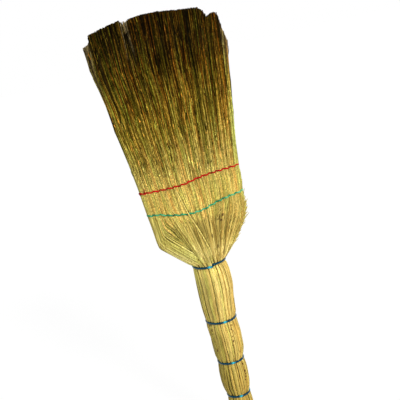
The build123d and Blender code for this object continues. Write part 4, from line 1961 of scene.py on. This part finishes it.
@dataclass
class Studio:
    """The photograph's camera, a plain pale floor and soft light. Distances are in metres."""

    form: BroomForm
    photo_side: float = 400.0
    focal_pixels: float = 746.0
    neck_pixel: Range = (210.5, 261.3)
    neck_distance: float = 1.343
    neck_aside: float = 0.0037
    roll: float = 13.0
    tip_tilt: float = 12.3
    sensor: float = 36.0
    clip: Range = (0.01, 100.0)
    floor_side: float = 60.0
    floor_colour: Colour = (0.93, 0.93, 0.93)
    floor_glow: float = 0.92
    floor_level: float = 1.03
    world_level: float = 0.26
    white: Colour = (1.0, 1.0, 1.0)
    lamps: tuple[Lamp, ...] = (
        Lamp("key", (0.90, -1.70, 1.10), 2.3, 10.0, (1.0, 0.98, 0.94)),
        Lamp("side", (1.90, -0.75, 0.70), 0.5, 25.0, (1.0, 0.98, 0.94)),
        Lamp("fill", (-1.7, -1.2, 0.9), 0.40, 60.0, (0.97, 1.0, 1.0)),
        Lamp("rim", (0.6, 1.9, 1.3), 0.8, 60.0, (1.0, 1.0, 1.0)),
    )

    def camera(self) -> None:
        """Places the camera from the neck tie's pixel and distance, the fan's roll and its tilt.

        The broom's X axis lies in the picture, turned by the roll. Its Z axis is square to that in
        the picture and then tipped towards the camera, and Y is square to both.
        """
        roll, tilt = math.radians(self.roll), math.radians(self.tip_tilt)
        across = np.array([math.cos(roll), math.sin(roll), 0.0])
        upright = np.array([-math.sin(roll), math.cos(roll), 0.0])
        along = math.cos(tilt) * upright + math.sin(tilt) * UP
        axes = np.stack([across, np.cross(along, across), along])
        right, up, back = axes.T
        aside, below = (np.array(self.neck_pixel) - self.photo_side / 2) / self.focal_pixels
        neck = np.array([self.neck_aside, 0.0, self.form.neck])
        eye = neck + self.neck_distance * (back - aside * right + below * up)
        data = bpy.data.cameras.new("photo_camera")
        data.sensor_width = self.sensor
        data.lens = self.sensor * self.focal_pixels / self.photo_side
        data.clip_start, data.clip_end = self.clip
        made = bpy.data.objects.new("photo_camera", data)
        made.matrix_world = Matrix.Translation(Vector(eye)) @ Matrix(axes.tolist()).to_4x4()
        bpy.context.scene.collection.objects.link(made)
        bpy.context.scene.camera = made

    def seen(self, nodes: Nodes) -> Socket:
        """Tells apart the rays that show the background: camera, glossy and transmission rays.

        Args:
            nodes: The floor's or the world's nodes.

        Returns:
            A value that is 1 for these rays and 0 for the rest.
        """
        path = nodes.add("ShaderNodeLightPath", {})
        total = path.outputs["Is Camera Ray"]
        for name in ("Is Glossy Ray", "Is Transmission Ray"):
            either = nodes.add("ShaderNodeMath", {0: total, 1: path.outputs[name]}, operation="MAXIMUM")
            total = either.outputs[0]
        return total

    def shown(self, nodes: Nodes, lighting: Socket, showing: Socket, output: str) -> None:
        """Ends a node tree with one shader for the rays that show the background, another for the rest."""
        either = nodes.add("ShaderNodeMixShader", {0: self.seen(nodes), 1: lighting, 2: showing})
        nodes.add(output, {"Surface": either.outputs[0]})

    def floor(self) -> None:
        """Lays the floor: pale and matt, lifted towards white where it is seen, with its shadow."""
        half = self.floor_side / 2
        corners = [(-half, -half, 0), (half, -half, 0), (half, half, 0), (-half, half, 0)]
        mesh = bpy.data.meshes.new("floor")
        mesh.from_pydata(corners, [], [(0, 1, 2, 3)])
        made = bpy.data.objects.new("floor", mesh)
        bpy.context.scene.collection.objects.link(made)
        nodes = Nodes(bpy.data.materials.new("pale_floor"))
        nodes.tree.nodes.clear()
        matt = nodes.add("ShaderNodeBsdfDiffuse", {"Color": self.floor_colour}).outputs[0]
        glow = nodes.add("ShaderNodeEmission", {"Strength": self.floor_level}).outputs[0]
        lifted = nodes.add("ShaderNodeMixShader", {0: self.floor_glow, 1: matt, 2: glow}).outputs[0]
        self.shown(nodes, matt, lifted, "ShaderNodeOutputMaterial")
        mesh.materials.append(nodes.owner)

    def world(self) -> None:
        """Fills the room with even light, and shows it as white."""
        bpy.context.scene.world = bpy.data.worlds.new("white_room")
        nodes = Nodes(bpy.context.scene.world)
        nodes.tree.nodes.clear()
        feeds = {"Color": self.white, "Strength": self.world_level}
        light = nodes.add("ShaderNodeBackground", feeds).outputs[0]
        white = nodes.add("ShaderNodeBackground", {"Color": self.white}).outputs[0]
        self.shown(nodes, light, white, "ShaderNodeOutputWorld")

    def set_up(self) -> None:
        """Places the camera, the floor and the lamps, and sets the plain view."""
        self.camera()
        self.floor()
        self.world()
        for lamp in self.lamps:
            lamp.hang()
        bpy.context.scene.view_settings.view_transform = "Standard"


STALK_FINISH = StrawFinish(
    name="stalk_straw",
    stops=(
        (0.0, (0.39, 0.280, 0.079)), (0.17, (0.51, 0.374, 0.106)), (0.23, (0.55, 0.415, 0.134)),
        (0.29, (0.70, 0.525, 0.176)), (0.345, (0.69, 0.530, 0.198)), (0.40, (0.71, 0.555, 0.212)),
        # The stop at 0.433 is painted light, lightening the waist just below the neck tie against its shadow.
        (0.433, (0.83, 0.655, 0.250)), (0.478, (0.66, 0.535, 0.215)), (0.51, (0.52, 0.400, 0.128)),
        (0.66, (0.49, 0.365, 0.110)),
    ),
    warm=(1.06, 0.94, 0.80),
    green=(0.90, 1.04, 0.90),
    gloss=0.15,
    streak=0.70,
    grain_scale=(900.0, 900.0, 11.0),
    grain=0.34,
    patch=0.26,
    patch_rate=16.0,
    low_patch=1.0,
    dust=0.06,
)

STRAW_FINISH = StrawFinish(
    name="bristle_straw",
    stops=(
        (0.455, (0.66, 0.53, 0.195)), (0.49, (0.56, 0.435, 0.140)), (0.545, (0.57, 0.44, 0.140)),
        (0.60, (0.61, 0.475, 0.155)), (0.65, (0.526, 0.412, 0.130)), (0.695, (0.396, 0.296, 0.073)),
        (0.757, (0.298, 0.211, 0.0335)), (0.819, (0.227, 0.148, 0.0185)),
        (0.881, (0.114, 0.068, 0.0073)), (0.93, (0.075, 0.044, 0.0046)), (1.0, (0.080, 0.046, 0.0049)),
    ),
    warm=(1.28, 0.77, 0.52),
    green=(0.70, 1.04, 0.74),
)

# Each bundle's glow, warmth, and its light on the handle low down and just below the neck, from the left:
# these two are painted light and shade, darker at the handle's left and lighter at its right.
STALK_LOOKS = (
    (1.18, -0.45, 0.86, 0.86), (1.12, -0.22, 0.98, 0.98), (0.90, -0.02, 1.14, 1.14),
    (0.90, 0.05, 1.18, 1.14), (0.98, 0.08, 1.15, 0.99), (1.08, 0.05, 1.15, 0.99),
)

# Each fleck of bark: place across, height, half width and half length, in metres.
FLECKS = (
    (0.0148, 0.2412, 0.0011, 0.0018), (0.0120, 0.2343, 0.0009, 0.0014),
    (0.0155, 0.2298, 0.0011, 0.0018), (0.0164, 0.2236, 0.0009, 0.0022),
    (0.0120, 0.2207, 0.0009, 0.0014), (0.0120, 0.2114, 0.0009, 0.0027),
    (0.0089, 0.2044, 0.0007, 0.0018), (-0.0235, 0.2466, 0.0011, 0.0018),
    (-0.0221, 0.2377, 0.0009, 0.0027), (-0.0229, 0.2301, 0.0009, 0.0018),
    (-0.0205, 0.1975, 0.0007, 0.0036), (-0.0209, 0.1910, 0.0009, 0.0014),
    (0.0185, 0.1865, 0.0009, 0.0036), (0.0186, 0.1670, 0.0014, 0.0014),
    (0.0190, 0.1598, 0.0011, 0.0018), (0.0199, 0.1452, 0.0014, 0.0027),
    (0.0206, 0.1395, 0.0011, 0.0018), (0.0196, 0.1339, 0.0011, 0.0014),
    (0.0172, 0.1294, 0.0011, 0.0011), (0.0073, 0.1397, 0.0007, 0.0072),
    (0.0431, 0.4458, 0.0012, 0.0027), (0.0386, 0.4374, 0.0016, 0.0022),
    (0.0330, 0.4403, 0.0009, 0.0018), (0.0409, 0.4545, 0.0009, 0.0011),
    (-0.0047, 0.4333, 0.0009, 0.0018), (0.0026, 0.4687, 0.0007, 0.0011),
    (0.0005, 0.4143, 0.0011, 0.0014), (0.0172, 0.4136, 0.0006, 0.0036),
    (0.0222, 0.3922, 0.0006, 0.0045),
)

# How many broken straws each bundle has on the shoulder, and which part of its straws starts at the neck.
FRAYS = (0, 2, 3, 3, 10, 44)
VEILS = (0.05, 0.10, 0.25, 0.28, 0.28, 0.25)

# The bundle that the pale straw lies across, and that straw's place across at each rise above the neck.
CROSSED = (Side.FRONT, "mid_left")
CROSSING = SmoothLine(
    (
        (0.029, 0.0075), (0.049, 0.0029), (0.075, -0.0056), (0.102, -0.0153), (0.127, -0.0220),
        (0.150, -0.0280),
    )
)

# Each tie from the butt: the angle of its ends, their overlap, its climb and the angle of its front pale
# spot, a painted highlight.
TIE_LOOKS = (
    (90.0, 16.0, 0.0036, -70.0), (90.0, 16.0, 0.0036, -82.0), (90.0, 16.0, 0.0036, -84.0),
    (90.0, 16.0, 0.0036, -79.0), (-78.0, 3.0, 0.0034, -91.0),
)

WIRE_FINISH = WireFinish("blue_wire", (0.0, 0.012, 0.034), (0.0, 0.07, 0.14), (0.03, 0.44, 0.60))
GREEN_FINISH = ThreadFinish("green_thread", (0.018, 0.35, 0.16), (0.002, 0.055, 0.045), (0.20, 0.66, 0.36))
RED_FINISH = ThreadFinish("red_thread", (0.50, 0.002, 0.004), (0.10, 0.001, 0.003), (0.66, 0.008, 0.010))


def main() -> None:
    """Builds the broom piece by piece and reports each one."""
    logging.basicConfig(level=logging.INFO, format="%(name)s: %(message)s")
    form = BroomForm()
    Studio(form).set_up()
    stalk, straw = STALK_FINISH.material(), STRAW_FINISH.material()
    wire, green, red = WIRE_FINISH.material(), GREEN_FINISH.material(), RED_FINISH.material()
    made = []
    for side in Side:
        for column, bundle in enumerate(COLUMNS):
            flecks = FLECKS if side is Side.FRONT else ()
            made.append(StalkBundle(form, side, column, *STALK_LOOKS[column], flecks).dress(stalk))
            crossing = CROSSING if (side, bundle) == CROSSED else None
            loose = StrawBundle(form, side, column, VEILS[column], FRAYS[column], crossing)
            made.append(loose.dress(straw))
    for number, looks in enumerate(TIE_LOOKS):
        made.append(WireTie(form, number, *looks).dress(wire))
    made.append(Stitching(form, "green_stitch", form.green, Slot.GREEN, lighter=0.14).dress(green))
    made.append(Stitching(form, "red_stitch", form.red, Slot.RED, tail=0.0088).dress(red))
    for piece in made:
        log.info("%s: %d triangles", piece.name, 2 * len(piece.data.polygons))
    log.info("%d pieces, %d triangles", len(made), 2 * sum(len(p.data.polygons) for p in made))


if __name__ == "__main__":
    main()
